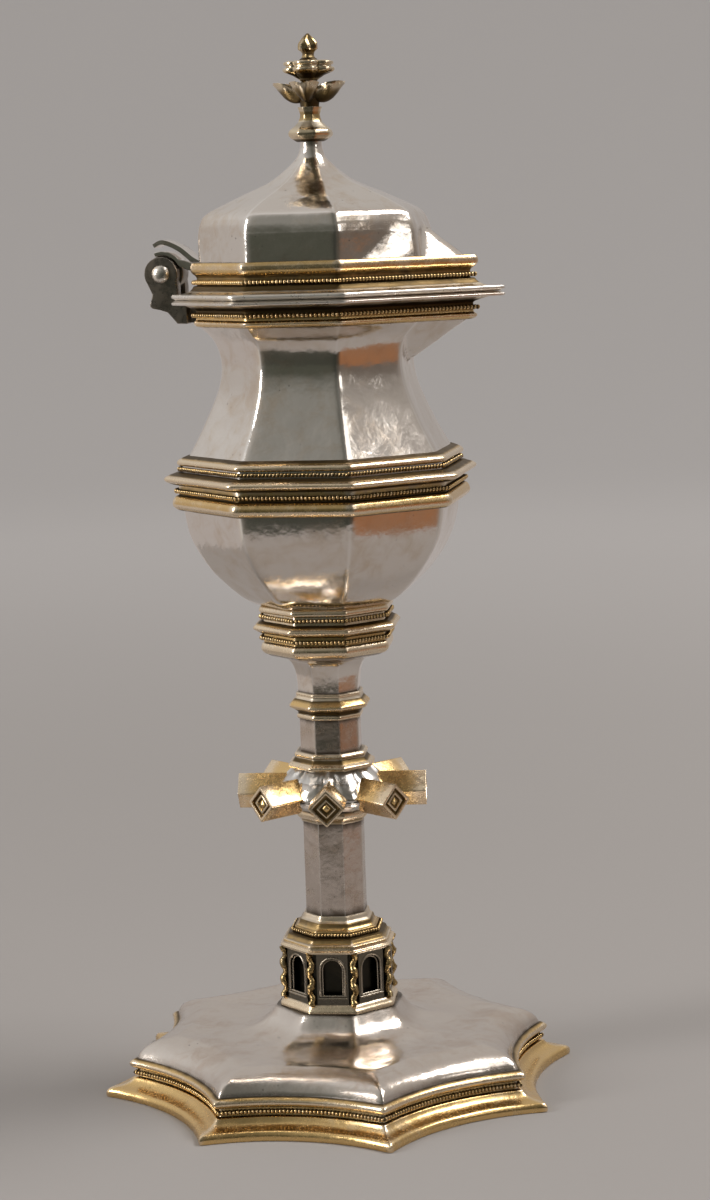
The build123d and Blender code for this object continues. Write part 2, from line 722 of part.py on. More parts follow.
rim_flange_solid = prism(FLANGE_FACE, RIM_FLANGE_BASE, RIM_FLANGE_TOP, BEAKED)
rim_mouth = prism(RIM_WALL - SHEET, RIM_FLANGE_BASE, RIM_FLANGE_TOP, BEAKED)
with BuildPart() as rim_flange:
    add(rim_flange_solid)
    add(rim_mouth, mode=Mode.SUBTRACT)
finish_part(rim_flange.part, "rim_flange")

# ---------------------------------------------------------------- lid
lid_mouth = prism(LID_WALL - SHEET, LID_FLANGE_BASE, LID_LIP_TOP, BEAKED)
lid_flange_solid = prism(FLANGE_FACE, LID_FLANGE_BASE, LID_FLANGE_TOP, BEAKED)
with BuildPart() as lid_flange:
    add(lid_flange_solid)
    add(lid_mouth, mode=Mode.SUBTRACT)
finish_part(lid_flange.part, "lid_flange")

lid_molding_steps = [
    (33.6, LID_FLANGE_TOP),
    [(31.0, 214.7), (30.2, 215.9)],
    (LID_BEAD_WALL, 216.0),
    (LID_BEAD_WALL, 218.1),
    [(29.6, 219.0), (30.7, 220.1)],
    (30.8, 221.2),
    (30.3, LID_LIP_TOP),
]
lid_molding_solid = planed(lid_molding_steps, BEAKED)
lid_band_solid = prism(LID_WALL, LID_FLANGE_TOP, LID_LIP_TOP, BEAKED)
with BuildPart() as lid_molding:
    add(lid_molding_solid)
    add(lid_band_solid, mode=Mode.SUBTRACT)
finish_part(lid_molding.part, "lid_molding")

lid_bead_solid = planed(wire_steps(LID_BEAD_WALL, LID_BEAD_HEIGHT), BEAKED)
lid_bead_hole = prism(LID_BEAD_WALL, LID_FLANGE_TOP, LID_LIP_TOP, BEAKED)
with BuildPart() as lid_bead_wire:
    add(lid_bead_solid)
    add(lid_bead_hole, mode=Mode.SUBTRACT)
finish_part(lid_bead_wire.part, "lid_bead_wire")

# The dome: an upright wall, a soft shoulder and a concave roof drawn up into a spire.
BEAK_RIDGE = (28.3, 231.4)
dome_steps = [
    (LID_WALL, LID_LIP_TOP),
    (LID_WALL, 229.6),
    [(28.0, 232.2), (25.9, 234.8), (20.1, 237.7), (10.6, 242.3), (4.6, 247.4),
     (2.9, SPIRE_TOP)],
]
dome_inner_steps = [
    (LID_WALL - SHEET, LID_LIP_TOP),
    (LID_WALL - SHEET, 229.2),
    [(27.0, 231.7), (25.0, 234.0), (19.2, 236.9), (9.3, 241.7), (4.2, 246.0)],
    (3.0, SPIRE_PLUG),
]
lid_dome_solid = planed(dome_steps)
lid_dome_hollow = planed(dome_inner_steps)
beak_solid = beak_wedge(LID_WALL, LID_LIP_TOP, *BEAK_RIDGE)
beak_hollow = beak_wedge(LID_WALL - SHEET, LID_LIP_TOP, BEAK_RIDGE[0] - SHEET, BEAK_RIDGE[1] - SHEET)
RIVET_RADIUS = 1.2
with BuildPart() as lid_shell:
    add(lid_dome_solid)
    add(beak_solid)
    add(lid_band_solid)
    add(lid_dome_hollow, mode=Mode.SUBTRACT)
    add(beak_hollow, mode=Mode.SUBTRACT)
    add(lid_mouth, mode=Mode.SUBTRACT)
    with Locations((0, 0, SPIRE_TOP)):
        Hole(RIVET_RADIUS)
finish_part(lid_shell.part, "lid_shell")

# ---------------------------------------------------------------- hinge
PIN_X = -40.4
PIN_HEIGHT = 219.2
PIN_RADIUS = 1.5
PIN_BORE = 1.55
KNUCKLE_RADIUS = 4.5
HINGE_HALF = 6.0         # half the length of the hinge along the pin
LEAF_HALF = 2.0          # half the width of the middle knuckle
SLOT_HALF = 2.15
HEAD_RADIUS = 2.35
HEAD_HEIGHT = 1.3
STRAP_HALF = 4.4
STRAP_INNER = 4.85
STRAP_OUTER = 5.9
STRAP_FOOT = -30.4       # the strap ends here, on the lip of the lid
STRAP_JOIN = 0.2         # the middle knuckle runs this far into the strap
SLOT_WIDTH = 20.0
SLOT_HEIGHT = 13.0
HEAD_ROUND = 1.04        # round on the rims of the pin's heads

bracket_outline = [
    (-44.3, 217.0), (-42.9, 213.9), (-43.7, 211.3), (-43.1, 210.2), (-38.9, 209.1), (-36.4, 206.0),
    (-30.0, 206.0), (-30.0, 210.9), (-36.05, 210.9), (-36.05, 218.0),
]
with BuildPart() as hinge_bracket:
    with BuildSketch(Plane.XZ):
        with Locations((PIN_X, PIN_HEIGHT)):
            Circle(KNUCKLE_RADIUS)
        with BuildLine():
            Polyline(*bracket_outline, close=True)
        make_face()
    extrude(amount=HINGE_HALF, both=True)
    with BuildSketch(Plane.XZ):
        with Locations((PIN_X, PIN_HEIGHT)):
            Rectangle(SLOT_WIDTH, SLOT_HEIGHT)
    extrude(amount=SLOT_HALF, both=True, mode=Mode.SUBTRACT)
    with BuildSketch(Plane.XZ):
        with Locations((PIN_X, PIN_HEIGHT)):
            Circle(PIN_BORE)
    extrude(amount=2 * HINGE_HALF, both=True, mode=Mode.SUBTRACT)
    add(rim_molding_solid, mode=Mode.SUBTRACT)
    add(rim_bead_solid, mode=Mode.SUBTRACT)
finish_part(hinge_bracket.part, "hinge_bracket")

with BuildPart() as hinge_pin:
    with BuildSketch(Plane.XZ):
        with Locations((PIN_X, PIN_HEIGHT)):
            Circle(PIN_RADIUS)
    extrude(amount=HINGE_HALF, both=True)
    for side in (-1, 1):
        with BuildSketch(Plane.XZ.offset(side * HINGE_HALF)):
            with Locations((PIN_X, PIN_HEIGHT)):
                Circle(HEAD_RADIUS)
        extrude(amount=side * HEAD_HEIGHT)
    heads = hinge_pin.edges().filter_by(GeomType.CIRCLE).group_by(Axis.Y)
    fillet(heads[0] + heads[-1], HEAD_ROUND)
finish_part(hinge_pin.part, "hinge_pin")


def hinge_point(radius, angle):
    """A point in the XZ plane at an angle about the pin."""
    return (PIN_X + radius * math.cos(math.radians(angle)),
            PIN_HEIGHT + radius * math.sin(math.radians(angle)))


STRAP_START = 112        # angles about the pin where the round of the strap starts and ends
STRAP_END = 22
STRAP_BEND = 45          # the outside of the strap leaves the round earlier
strap_middle = (STRAP_START + STRAP_END) / 2
with BuildPart() as lid_hinge_leaf:
    with BuildSketch(Plane.XZ):
        with BuildLine():
            ThreePointArc(hinge_point(STRAP_INNER, STRAP_START), hinge_point(STRAP_INNER, strap_middle),
                          hinge_point(STRAP_INNER, STRAP_END))
            Polyline(
                hinge_point(STRAP_INNER, STRAP_END), (STRAP_FOOT, 219.6), (STRAP_FOOT, 221.8),
                (-34.2, 222.2), hinge_point(STRAP_OUTER, STRAP_BEND))
            ThreePointArc(hinge_point(STRAP_OUTER, STRAP_BEND), hinge_point(STRAP_OUTER, strap_middle),
                          hinge_point(STRAP_OUTER, STRAP_START))
            Line(hinge_point(STRAP_OUTER, STRAP_START), hinge_point(STRAP_INNER, STRAP_START))
        make_face()
    extrude(amount=STRAP_HALF, both=True)
    with BuildSketch(Plane.XZ):
        with Locations((PIN_X, PIN_HEIGHT)):
            Circle(STRAP_INNER + STRAP_JOIN)
    extrude(amount=LEAF_HALF, both=True)
    with BuildSketch(Plane.XZ):
        with Locations((PIN_X, PIN_HEIGHT)):
            Circle(PIN_BORE)
    extrude(amount=LEAF_HALF, both=True, mode=Mode.SUBTRACT)
    add(lid_molding_solid, mode=Mode.SUBTRACT)
finish_part(lid_hinge_leaf.part, "lid_hinge_leaf")

THUMB_HALF = 4.0
with BuildPart() as lid_thumb_leaf:
    with BuildSketch(Plane.XZ):
        with BuildLine():
            Spline((-28.6, 222.0), (-31.8, 223.3), (-35.6, 226.4), (-40.2, 228.2), (-43.0, 226.9))
            Line((-43.0, 226.9), (-42.4, 225.9))
            Spline((-42.4, 225.9), (-40.2, 226.9), (-36.1, 225.2), (-32.4, 222.0))
            Line((-32.4, 222.0), (-28.6, 222.0))
        make_face()
    extrude(amount=THUMB_HALF, both=True)
    add(lid_dome_solid, mode=Mode.SUBTRACT)
    add(lid_hinge_leaf.part, mode=Mode.SUBTRACT)
finish_part(lid_thumb_leaf.part, "lid_thumb_leaf")

# ---------------------------------------------------------------- finial
RIVET_TOP = 256.0
RIVET_HEAD = 2.5
RIVET_HEAD_THICKNESS = 1.2
with BuildPart() as finial_rivet:
    with BuildSketch(Plane.XY.offset(SPIRE_PLUG - RIVET_HEAD_THICKNESS)):
        Circle(RIVET_RADIUS)
    extrude(amount=RIVET_TOP - SPIRE_PLUG + RIVET_HEAD_THICKNESS)
    with BuildSketch(Plane.XY.offset(SPIRE_PLUG - RIVET_HEAD_THICKNESS)):
        Circle(RIVET_HEAD)
    extrude(amount=RIVET_HEAD_THICKNESS)
finish_part(finial_rivet.part, "finial_rivet")

finial_base_steps = [
    (3.0, SPIRE_TOP),
    (5.3, 253.6),
    (5.6, 254.8),
    (4.6, 255.8),
    [(2.4, 257.6), (2.0, 259.4), (2.6, LEAVES_BASE)],
]
finial_base_solid = planed(finial_base_steps)
with BuildPart() as finial_base:
    add(finial_base_solid)
    add(finial_rivet.part, mode=Mode.SUBTRACT)
finish_part(finial_base.part, "finial_base")

LEAVES = 4
LEAF_HALF_WIDTH = 2.4
LEAF_HUB = 2.4           # radius of the core that the leaves grow from
LEAF_HUB_SLOPE = 4       # taper of the core in degrees
with BuildPart() as leaf:
    with BuildSketch(Plane.XZ):
        with BuildLine():
            Spline((0.0, 261.5), (3.8, 262.0), (7.4, 263.7), (9.4, 267.2))
            Line((9.4, 267.2), (8.4, 267.7))
            Spline((8.4, 267.7), (6.0, 265.6), (3.0, 264.3), (0.0, 264.1))
            Line((0.0, 264.1), (0.0, 261.5))
        make_face()
    extrude(amount=LEAF_HALF_WIDTH, both=True)
with BuildPart() as finial_leaves:
    with BuildSketch(Plane.XY.offset(LEAVES_BASE)):
        Circle(LEAF_HUB)
    extrude(amount=FLOWER_BASE - LEAVES_BASE, taper=LEAF_HUB_SLOPE)
    for number in range(LEAVES):
        add(leaf.part, rotation=(0, 0, number * 360 / LEAVES))
finish_part(finial_leaves.part, "finial_leaves")

LOBE_RADIUS = 2.8
LOBE_DISTANCE = 4.1
LOBE_BASE = 269.9
LOBE_TOP = 273.1
FLOWER_ROOT = 1.9        # radii of the cup at its root, under its lobes, inside them and above
FLOWER_CUP = 4.0
FLOWER_CORE = 3.4
FLOWER_TOP = 2.5
with BuildPart() as finial_flower:
    with BuildSketch(Plane.XY.offset(FLOWER_BASE)):
        Circle(FLOWER_ROOT)
    with BuildSketch(Plane.XY.offset(LOBE_BASE)):
        Circle(FLOWER_CUP)
    loft()
    with BuildSketch(Plane.XY.offset(LOBE_BASE)):
        Circle(FLOWER_CORE)
        with PolarLocations(LOBE_DISTANCE, LEAVES):
            Circle(LOBE_RADIUS)
    extrude(amount=LOBE_TOP - LOBE_BASE)
    with BuildSketch(Plane.XY.offset(LOBE_TOP)):
        Circle(FLOWER_TOP)
    extrude(amount=BUD_BASE - LOBE_TOP)
finish_part(finial_flower.part, "finial_flower")

with BuildPart() as finial_bud:
    with BuildSketch(Plane.XZ):
        with BuildLine():
            Line((0, BUD_BASE), (2.0, BUD_BASE))
            Spline((2.0, BUD_BASE), (1.55, 274.9), (2.6, 277.1), (1.5, 278.8), (0.3, TOTAL_HEIGHT))
            Line((0.3, TOTAL_HEIGHT), (0, TOTAL_HEIGHT))
            Line((0, TOTAL_HEIGHT), (0, BUD_BASE))
        make_face()
    revolve(axis=Axis.Z)
finish_part(finial_bud.part, "finial_bud")
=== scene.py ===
"""The looks of a lidded silver and silver-gilt vessel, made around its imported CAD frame.

Shapes are worked out in millimetres from the boxes of the CAD nodes and turned into metres
when a mesh is made.  The beak points along +X, the hinge is at -X, and +Z is up.
"""
import math
import random

import bmesh
import bpy
from mathutils import Matrix, Vector, noise


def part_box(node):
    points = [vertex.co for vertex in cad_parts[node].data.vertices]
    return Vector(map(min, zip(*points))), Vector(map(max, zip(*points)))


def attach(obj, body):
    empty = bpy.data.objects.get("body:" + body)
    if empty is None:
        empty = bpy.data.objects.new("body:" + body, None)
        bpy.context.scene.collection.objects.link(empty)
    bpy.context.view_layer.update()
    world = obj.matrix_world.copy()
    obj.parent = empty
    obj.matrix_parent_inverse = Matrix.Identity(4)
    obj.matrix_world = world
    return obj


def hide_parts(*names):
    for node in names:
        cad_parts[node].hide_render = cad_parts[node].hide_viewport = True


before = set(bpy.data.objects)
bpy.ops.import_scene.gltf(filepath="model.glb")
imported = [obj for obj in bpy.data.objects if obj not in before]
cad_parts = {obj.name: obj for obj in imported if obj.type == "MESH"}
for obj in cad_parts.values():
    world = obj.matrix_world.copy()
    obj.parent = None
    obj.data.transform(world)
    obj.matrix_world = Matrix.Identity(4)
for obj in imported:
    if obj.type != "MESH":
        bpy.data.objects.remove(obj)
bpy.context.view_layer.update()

MM = 0.001
FACES = 8
SECTOR = 360 / FACES
HALF_SECTOR = SECTOR / 2
OCTAGON, BEAKED, STAR, SQUARE = "octagon", "beaked", "star", "square"
SCALLOP_CENTRE = 106.9          # the hollow sides of the foot are arcs about points this far out
STEM_TURN = 5                   # how the stem pieces sit on their rod, in degrees
KNOP_TURN = 8
SHEET = 0.9                     # thickness of the raised silver sheet
ROD_HOLE = 3.2                  # radius of the hole for the tie rod through the stem pieces
SIDEWAYS = math.radians(85)     # a face turned further away than this is no bound in a direction
SAME_PLACE = 1e-6               # lengths below this count as nothing
FLAT_BEND = math.radians(12)    # bends below this are not rounded
ROUND_SHARE = 0.4               # a round takes at most this share of the line beside it
RECESS_REACH = 1.7              # section points this near in height are compared with each other
CORNER_RUB_AND_HIGHLIGHT = 1.6               # how far the lightened corners of a ring reach, in degrees: rubbed wear and painted highlight
JOINT_DIRT = 0.7                # grime where a piece meets its neighbours, from 0 to 1
SHARP_BEND = math.radians(28)   # edges of a plate that bend by more than this are rounded
TUBE_SIDES = 8
ARCH_STEPS = 12
POINTED = 0.02                  # radius or half side of an end that is drawn to a point
SHEET_DENTS = (0.16, 11.0)      # depth and size of the dents in the raised sheet
SMALL_DENTS = (0.04, 3.0)       # and in the small castings
STEM = {"turn": STEM_TURN, "edge": 0.15}
BEAKED_MOLDING = {"outline": BEAKED, "edge": 0.25, "step": 4.0, "dents": (0.07, 7.0),
                  "joint_grime": 0.3}


# ---------------------------------------------------------------- reading the frame
def box_mm(node):
    low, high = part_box(node)
    return low / MM, high / MM


def face_of(node, outline=OCTAGON, turn=0.0):
    """Distance of the node's outermost faces from the axis, read from its box."""
    low, high = box_mm(node)
    half = (high.y - low.y) / 2
    if outline == STAR:
        tip = half / math.cos(math.radians(HALF_SECTOR))
        return SCALLOP_CENTRE - math.hypot(
            SCALLOP_CENTRE * math.cos(math.radians(HALF_SECTOR)) - tip,
            SCALLOP_CENTRE * math.sin(math.radians(HALF_SECTOR)))
    if outline == BEAKED:
        return half
    widest = math.cos(math.radians(HALF_SECTOR - turn))
    return half * math.cos(math.radians(HALF_SECTOR)) / widest


# ---------------------------------------------------------------- outlines seen from above
def soft_min(values, edge):
    """The smallest value, rounded by about edge where two values meet."""
    least = min(values)
    total = sum(math.exp(-(value - least) * math.log(2) / edge) for value in values)
    return least - edge * math.log2(total)


def soft_max(first, second, edge):
    return -soft_min((-first, -second), edge)


def face_angles(outline):
    if outline == SQUARE:
        return [0, 90, 180, 270]
    first = 1 if outline == BEAKED else 0
    return [SECTOR * number for number in range(first, FACES)]


def turn_between(degrees, other=0.0):
    """The turn from one direction to another, from -180 to 180 degrees."""
    return (degrees - other + 180) % 360 - 180


def outline_radius(outline, degrees, face, edge):
    """Distance from the axis to the outline whose faces are at the given distance."""
    reach = []
    for normal in face_angles(outline):
        off = math.radians(turn_between(degrees, normal))
        if abs(off) > SIDEWAYS:
            continue
        if outline == STAR:
            radius = SCALLOP_CENTRE - face
            across = SCALLOP_CENTRE * math.sin(off)
            if abs(across) < radius:
                reach.append(SCALLOP_CENTRE * math.cos(off)
                             - math.sqrt(radius ** 2 - across ** 2))
        else:
            reach.append(face / math.cos(off))
    return soft_min(reach, edge)


def corner_angles(outline):
    if outline == SQUARE:
        return [45, 135, 225, 315]
    corners = [HALF_SECTOR + SECTOR * number for number in range(FACES)]
    if outline == BEAKED:
        corners = [0.0] + corners[1:-1]
    return corners


CORNER_OFFSETS = (0.0, 0.4, 0.9, 1.7, 3.0)


def sample_angles(outline, step=5.0, offsets=CORNER_OFFSETS):
    """Angles round the outline, close together at its corners."""
    corners = corner_angles(outline)
    angles = []
    for corner, following in zip(corners, corners[1:] + [corners[0] + 360]):
        angles += [corner + offset for offset in offsets]
        first = corner + offsets[-1]
        last = following - offsets[-1]
        count = max(1, round((last - first) / step))
        angles += [first + (last - first) * number / count for number in range(1, count)]
        angles += [following - offset for offset in reversed(offsets[1:])]
    return angles


# ---------------------------------------------------------------- sections
def smooth(points, steps=6):
    """Points on a smooth curve through the given points."""
    padded = [points[0]] + list(points) + [points[-1]]
    result = []
    for before, start, end, after in zip(padded, padded[1:], padded[2:], padded[3:]):
        for number in range(steps):
            t = number / steps
            weights = (
                -0.5 * t + t ** 2 - 0.5 * t ** 3,
                1 - 2.5 * t ** 2 + 1.5 * t ** 3,
                0.5 * t + 2 * t ** 2 - 1.5 * t ** 3,
                -0.5 * t ** 2 + 0.5 * t ** 3)
            result.append(tuple(
                sum(weight * point[axis]
                    for weight, point in zip(weights, (before, start, end, after)))
                for axis in range(2)))
    result.append(tuple(points[-1]))
    return result


def soften(points, radius, closed=True):
    """The same outline with each corner cut to a small round."""
    result = []
    count = len(points)
    for number, point in enumerate(points):
        if not closed and number in (0, count - 1):
            result.append(point)
            continue
        here = Vector(point)
        before = Vector(points[number - 1]) - here
        after = Vector(points[(number + 1) % count]) - here
        shortest = min(before.length, after.length)
        if shortest < SAME_PLACE or before.angle(-after, 0) < FLAT_BEND:
            result.append(point)
            continue
        start = here + before.normalized() * min(radius, ROUND_SHARE * before.length)
        end = here + after.normalized() * min(radius, ROUND_SHARE * after.length)
        middle = (start + end + 2 * here) / 4
        result += [tuple(start), tuple(middle), tuple(end)]
    return result


def steps_from(node, steps, outline=OCTAGON, turn=0.0):
    """Section points given as (distance in from the outer face, rise from the node's bottom)."""
    face = face_of(node, outline, turn)
    bottom = box_mm(node)[0].z
    return [(face - inward, bottom + rise) for inward, rise in steps]


def rolled(outside, back):
    """A closed section: the outer points going up, then a flat back at one distance."""
    return list(outside) + [(back, outside[-1][1]), (back, outside[0][1])]


# ---------------------------------------------------------------- meshes
def unit(value):
    """The value, held between 0 and 1."""
    return min(max(value, 0), 1)


def set_attribute(mesh, name, values):
    attribute = mesh.attributes.new(name, "FLOAT", "POINT")
    attribute.data.foreach_set("value", values)


def shade(mesh, angle):
    """Smooth shading, with a sharp edge wherever the mesh bends by more than the angle."""
    for polygon in mesh.polygons:
        polygon.use_smooth = True
    mesh.set_sharp_from_angle(angle=math.radians(angle))


def hammered(mesh, depth, size, seed):
    """Move the points along their normals by soft noise: dents and the marks of the hammer."""
    shift = Vector((seed * 7.1, seed * 3.7, seed * 5.3))
    normals = [vertex.normal.copy() for vertex in mesh.vertices]
    for vertex, normal in zip(mesh.vertices, normals):
        place = vertex.co / MM
        wave = noise.noise(place / size + shift) + 0.5 * noise.noise(place / (0.45 * size) - shift)
        vertex.co += normal * (depth * MM * wave)


def keep_inside(mesh, nodes):
    """Hold every point inside the box of the CAD nodes that the piece stands for."""
    lows, highs = zip(*(box_mm(node) for node in nodes))
    for axis in range(3):
        low = min(corner[axis] for corner in lows) * MM
        high = max(corner[axis] for corner in highs) * MM
        for vertex in mesh.vertices:
            vertex.co[axis] = min(max(vertex.co[axis], low), high)


def make_object(name, mesh, nodes, body, material, angle, dents=None, seed=0):
    """Dent a mesh, keep it inside the boxes of its CAD nodes and let it ride on its body."""
    if dents:
        hammered(mesh, dents[0], dents[1], seed)
    if nodes:
        keep_inside(mesh, nodes)
    shade(mesh, angle)
    mesh.materials.append(material)
    piece = bpy.data.objects.new(name, mesh)
    bpy.context.scene.collection.objects.link(piece)
    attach(piece, body)
    return piece


class Surface:
    """Points with their grime, and their wear with painted highlight, from 0 to 1, and the faces
    between them.
    """

    def __init__(self):
        self.points = []
        self.grime = []
        self.wear_and_highlight = []
        self.faces = []

    def add(self, place, grime, wear_and_highlight):
        """Take in one more point, given in millimetres."""
        self.points.append(tuple(value * MM for value in place))
        self.grime.append(grime)
        self.wear_and_highlight.append(wear_and_highlight)

    def join_rings(self, around, first=0, closed=False, capped=False):
        """Faces between rings of points, from point number first on, with this many in a ring.

        closed joins the last ring to the first one; capped closes the two end rings.
        """
        levels = (len(self.points) - first) // around
        for level in range(levels if closed else levels - 1):
            here = first + level * around
            above = first + (level + 1) % levels * around
            for place in range(around):
                following = (place + 1) % around
                self.faces.append((here + place, here + following, above + following, above + place))
        if capped:
            last = first + (levels - 1) * around
            self.faces.append(tuple(first + place for place in reversed(range(around))))
            self.faces.append(tuple(last + place for place in range(around)))

    def take_in(self, points, faces, grime, wear_and_highlight):
        """Add a whole shape: its points in metres and its faces by point number."""
        first = len(self.points)
        self.points += points
        self.grime += grime
        self.wear_and_highlight += wear_and_highlight
        self.faces += [tuple(first + index for index in face) for face in faces]

    def piece(self, name, nodes, body, material, angle, dents=None, seed=0):
        """Make the object and let it replace its CAD nodes."""
        mesh = bpy.data.meshes.new(name)
        mesh.from_pydata(self.points, [], self.faces)
        mesh.update()
        set_attribute(mesh, "grime", self.grime)
        set_attribute(mesh, "wear_and_highlight", self.wear_and_highlight)
        piece = make_object(name, mesh, nodes, body, material, angle, dents, seed)
        if nodes:
            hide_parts(*nodes)
        return piece


def recess_values(section):
    """How deep each section point lies in a recess, and how far it stands proud, from 0 to 1."""
    grime = []
    wear_and_highlight = []
    for face, height in section:
        near = [other for other, level in section if abs(level - height) < RECESS_REACH]
        deep = max(near) - face
        proud = face - sum(near) / len(near)
        grime.append(unit((deep - 0.3) / 1.6))
        wear_and_highlight.append(unit(proud / 0.9))
    return grime, wear_and_highlight


def ring_object(name, nodes, body, section, material, outline=OCTAGON, turn=0.0, edge=0.22,
                step=5.0, dents=(0.05, 6.0), radius=None, joint_grime=1.2, recess=True,
                corner_rub_and_highlight_share=0.7):
    """A closed ring whose section is carried round an outline.

    radius(degrees, face, height) may give the distance from the axis instead of the outline.
    """
    angles = sample_angles(outline, step)
    # Corners get a higher wear value: partly rubbed wear, partly a painted highlight that draws light
    # lines along the edges.
    corner_rub_and_highlight = [max(math.exp(-(turn_between(angle, corner) / CORNER_RUB_AND_HIGHLIGHT) ** 2)
                       for corner in corner_angles(outline)) for angle in angles]
    even = [0] * len(section)
    sunk_at, proud_at = recess_values(section) if recess else (even, even)
    heights = [height for _, height in section]
    lowest, highest = min(heights), max(heights)
    surface = Surface()
    for (face, height), sunk, proud in zip(section, sunk_at, proud_at):
        end = min(height - lowest, highest - height)
        near_joint = JOINT_DIRT * math.exp(-end / joint_grime) if joint_grime else 0
        for angle, on_corner in zip(angles, corner_rub_and_highlight):
            if radius:
                distance = radius(angle, face, height)
            else:
                distance = outline_radius(outline, angle, face, edge)
            turned = math.radians(angle + turn)
            surface.add((distance * math.cos(turned), distance * math.sin(turned), height),
                        max(sunk, near_joint), min(proud + corner_rub_and_highlight_share * on_corner * (1 - sunk), 1))
    surface.join_rings(len(angles), closed=True)
    surface.piece(name, nodes, body, material, 38, dents, seed=len(name))


def bead_places(outline, turn, face, pitch):
    """Places along the outline a pitch apart, each with the direction of travel."""
    corners = []
    for angle in sample_angles(outline, 1.5, (0.0, 0.7)):
        distance = outline_radius(outline, angle, face, 0.05)
        turned = math.radians(angle + turn)
        corners.append(Vector((distance * math.cos(turned), distance * math.sin(turned), 0)))
    corners.append(corners[0])
    lengths = [(second - first).length for first, second in zip(corners, corners[1:])]
    count = round(sum(lengths) / pitch)
    spacing = sum(lengths) / count
    places = []
    travelled = 0.0
    number = 0
    for first, second, length in zip(corners, corners[1:], lengths):
        while number < count and number * spacing < travelled + length:
            share = (number * spacing - travelled) / length
            places.append((first.lerp(second, share), (second - first).normalized()))
            number += 1
        travelled += length
    return places


CORE_SIDES = 6                  # the thin core that carries the beads of a wire
CORE_SHARE = 0.36


def bead_wire(name, node, body, material, outline=OCTAGON, turn=0.0, pitch=1.02, lean=0.0,
              long=0.37, thick=0.5, seed=1):
    """A beaded or twisted wire: one small bead after another on a thin core, against a wall.

    lean turns the beads towards the next one, which makes them read as a twisted cord.
    """
    low, high = box_mm(node)
    height = (low.z + high.z) / 2
    wire = high.z - low.z
    face = face_of(node, outline, turn) - wire / 2
    draw = random.Random(seed)
    shape = bmesh.new()
    bmesh.ops.create_icosphere(shape, subdivisions=2, radius=1.0)
    ball = [vertex.co.copy() for vertex in shape.verts]
    triangles = [tuple(vertex.index for vertex in polygon.verts) for polygon in shape.faces]
    shape.free()
    up = Vector((0, 0, 1))
    surface = Surface()
    for place, along in bead_places(outline, turn, face, pitch):
        outward = Vector((along.y, -along.x, 0))
        tilt = Matrix.Rotation(math.radians(lean + draw.uniform(-6, 6)), 3, outward)
        size = wire * draw.uniform(0.94, 1.04)
        centre = place + Vector((0, 0, height + draw.uniform(-0.04, 0.04)))
        first = len(surface.points)
        for point in ball:
            local = (tilt @ (along * point.x * long + up * point.z * thick)
                     + outward * point.y * thick)
            surface.add(centre + local * size, unit(0.55 - 0.75 * point.y), unit(point.y - 0.35))
        surface.faces += [tuple(first + index for index in triangle) for triangle in triangles]
    core = CORE_SHARE * wire
    angles = sample_angles(outline, 4.0, (0.0, 1.5))
    first = len(surface.points)
    for side in range(CORE_SIDES):
        about = math.radians(360 / CORE_SIDES * side)
        for angle in angles:
            distance = outline_radius(outline, angle, face + core * math.cos(about), 0.1)
            place = around_stem(distance, angle + turn, height + core * math.sin(about))
            surface.add(place, 1.0, 0.0)
    surface.join_rings(len(angles), first, closed=True)
    surface.piece(name, [node], body, material, 80)


def around_stem(distance, degrees, height, side=0.0):
    """A point at a distance from the axis in a direction, moved sideways and set at a height."""
    angle = math.radians(degrees)
    return Vector((distance * math.cos(angle) - side * math.sin(angle),
                   distance * math.sin(angle) + side * math.cos(angle), height))


def tube_object(name, paths, material):
    """Round bars along paths of (point, radius); each path is a separate closed bar."""
    surface = Surface()
    for path in paths:
        first = len(surface.points)
        for number, (point, radius) in enumerate(path):
            before = path[max(number - 1, 0)][0]
            after = path[min(number + 1, len(path) - 1)][0]
            along = (after - before).normalized()
            if number == 0:
                across = along.orthogonal().normalized()
            else:
                across = (across - along * across.dot(along)).normalized()
            other = along.cross(across)
            for side in range(TUBE_SIDES):
                angle = 2 * math.pi * side / TUBE_SIDES
                swing = across * math.cos(angle) + other * math.sin(angle)
                surface.add(point + swing * radius, 0.35, 0.3)
        surface.join_rings(TUBE_SIDES, first, capped=True)
    return surface.piece(name, [], "vessel", material, 60)


def slab_object(name, node, body, material, outline, half, round_edge=0.25, middle=0.0):
    """A plate cut to an outline in the XZ plane and given a width along Y, with rounded edges."""
    shape = bmesh.new()
    front = [shape.verts.new((x * MM, (middle - half) * MM, z * MM)) for x, z in outline]
    face = shape.faces.new(front)
    grown = bmesh.ops.extrude_face_region(shape, geom=[face])
    moved = [item for item in grown["geom"] if isinstance(item, bmesh.types.BMVert)]
    bmesh.ops.translate(shape, verts=moved, vec=(0, 2 * half * MM, 0))
    bmesh.ops.recalc_face_normals(shape, faces=shape.faces)
    sharp = [line for line in shape.edges if line.calc_face_angle(0) > SHARP_BEND]
    bmesh.ops.bevel(shape, geom=sharp, offset=round_edge * MM, segments=3, profile=0.6,
                    affect="EDGES", clamp_overlap=True)
    bmesh.ops.triangulate(shape, faces=[face for face in shape.faces if len(face.verts) > 4])
    mesh = bpy.data.meshes.new(name)
    shape.to_mesh(mesh)
    shape.free()
    set_attribute(mesh, "grime", [0.25] * len(mesh.vertices))
    set_attribute(mesh, "wear_and_highlight", [0.2] * len(mesh.vertices))
    return make_object(name, mesh, [node], body, material, 35, SMALL_DENTS, seed=3)


def merged_object(name, parts, node, body, material, dents):
    """One piece from several surfaces."""
    surface = Surface()
    for part in parts:
        surface.take_in(part.points, part.faces, part.grime, part.wear_and_highlight)
    surface.piece(name, [node], body, material, 40, dents, seed=5)


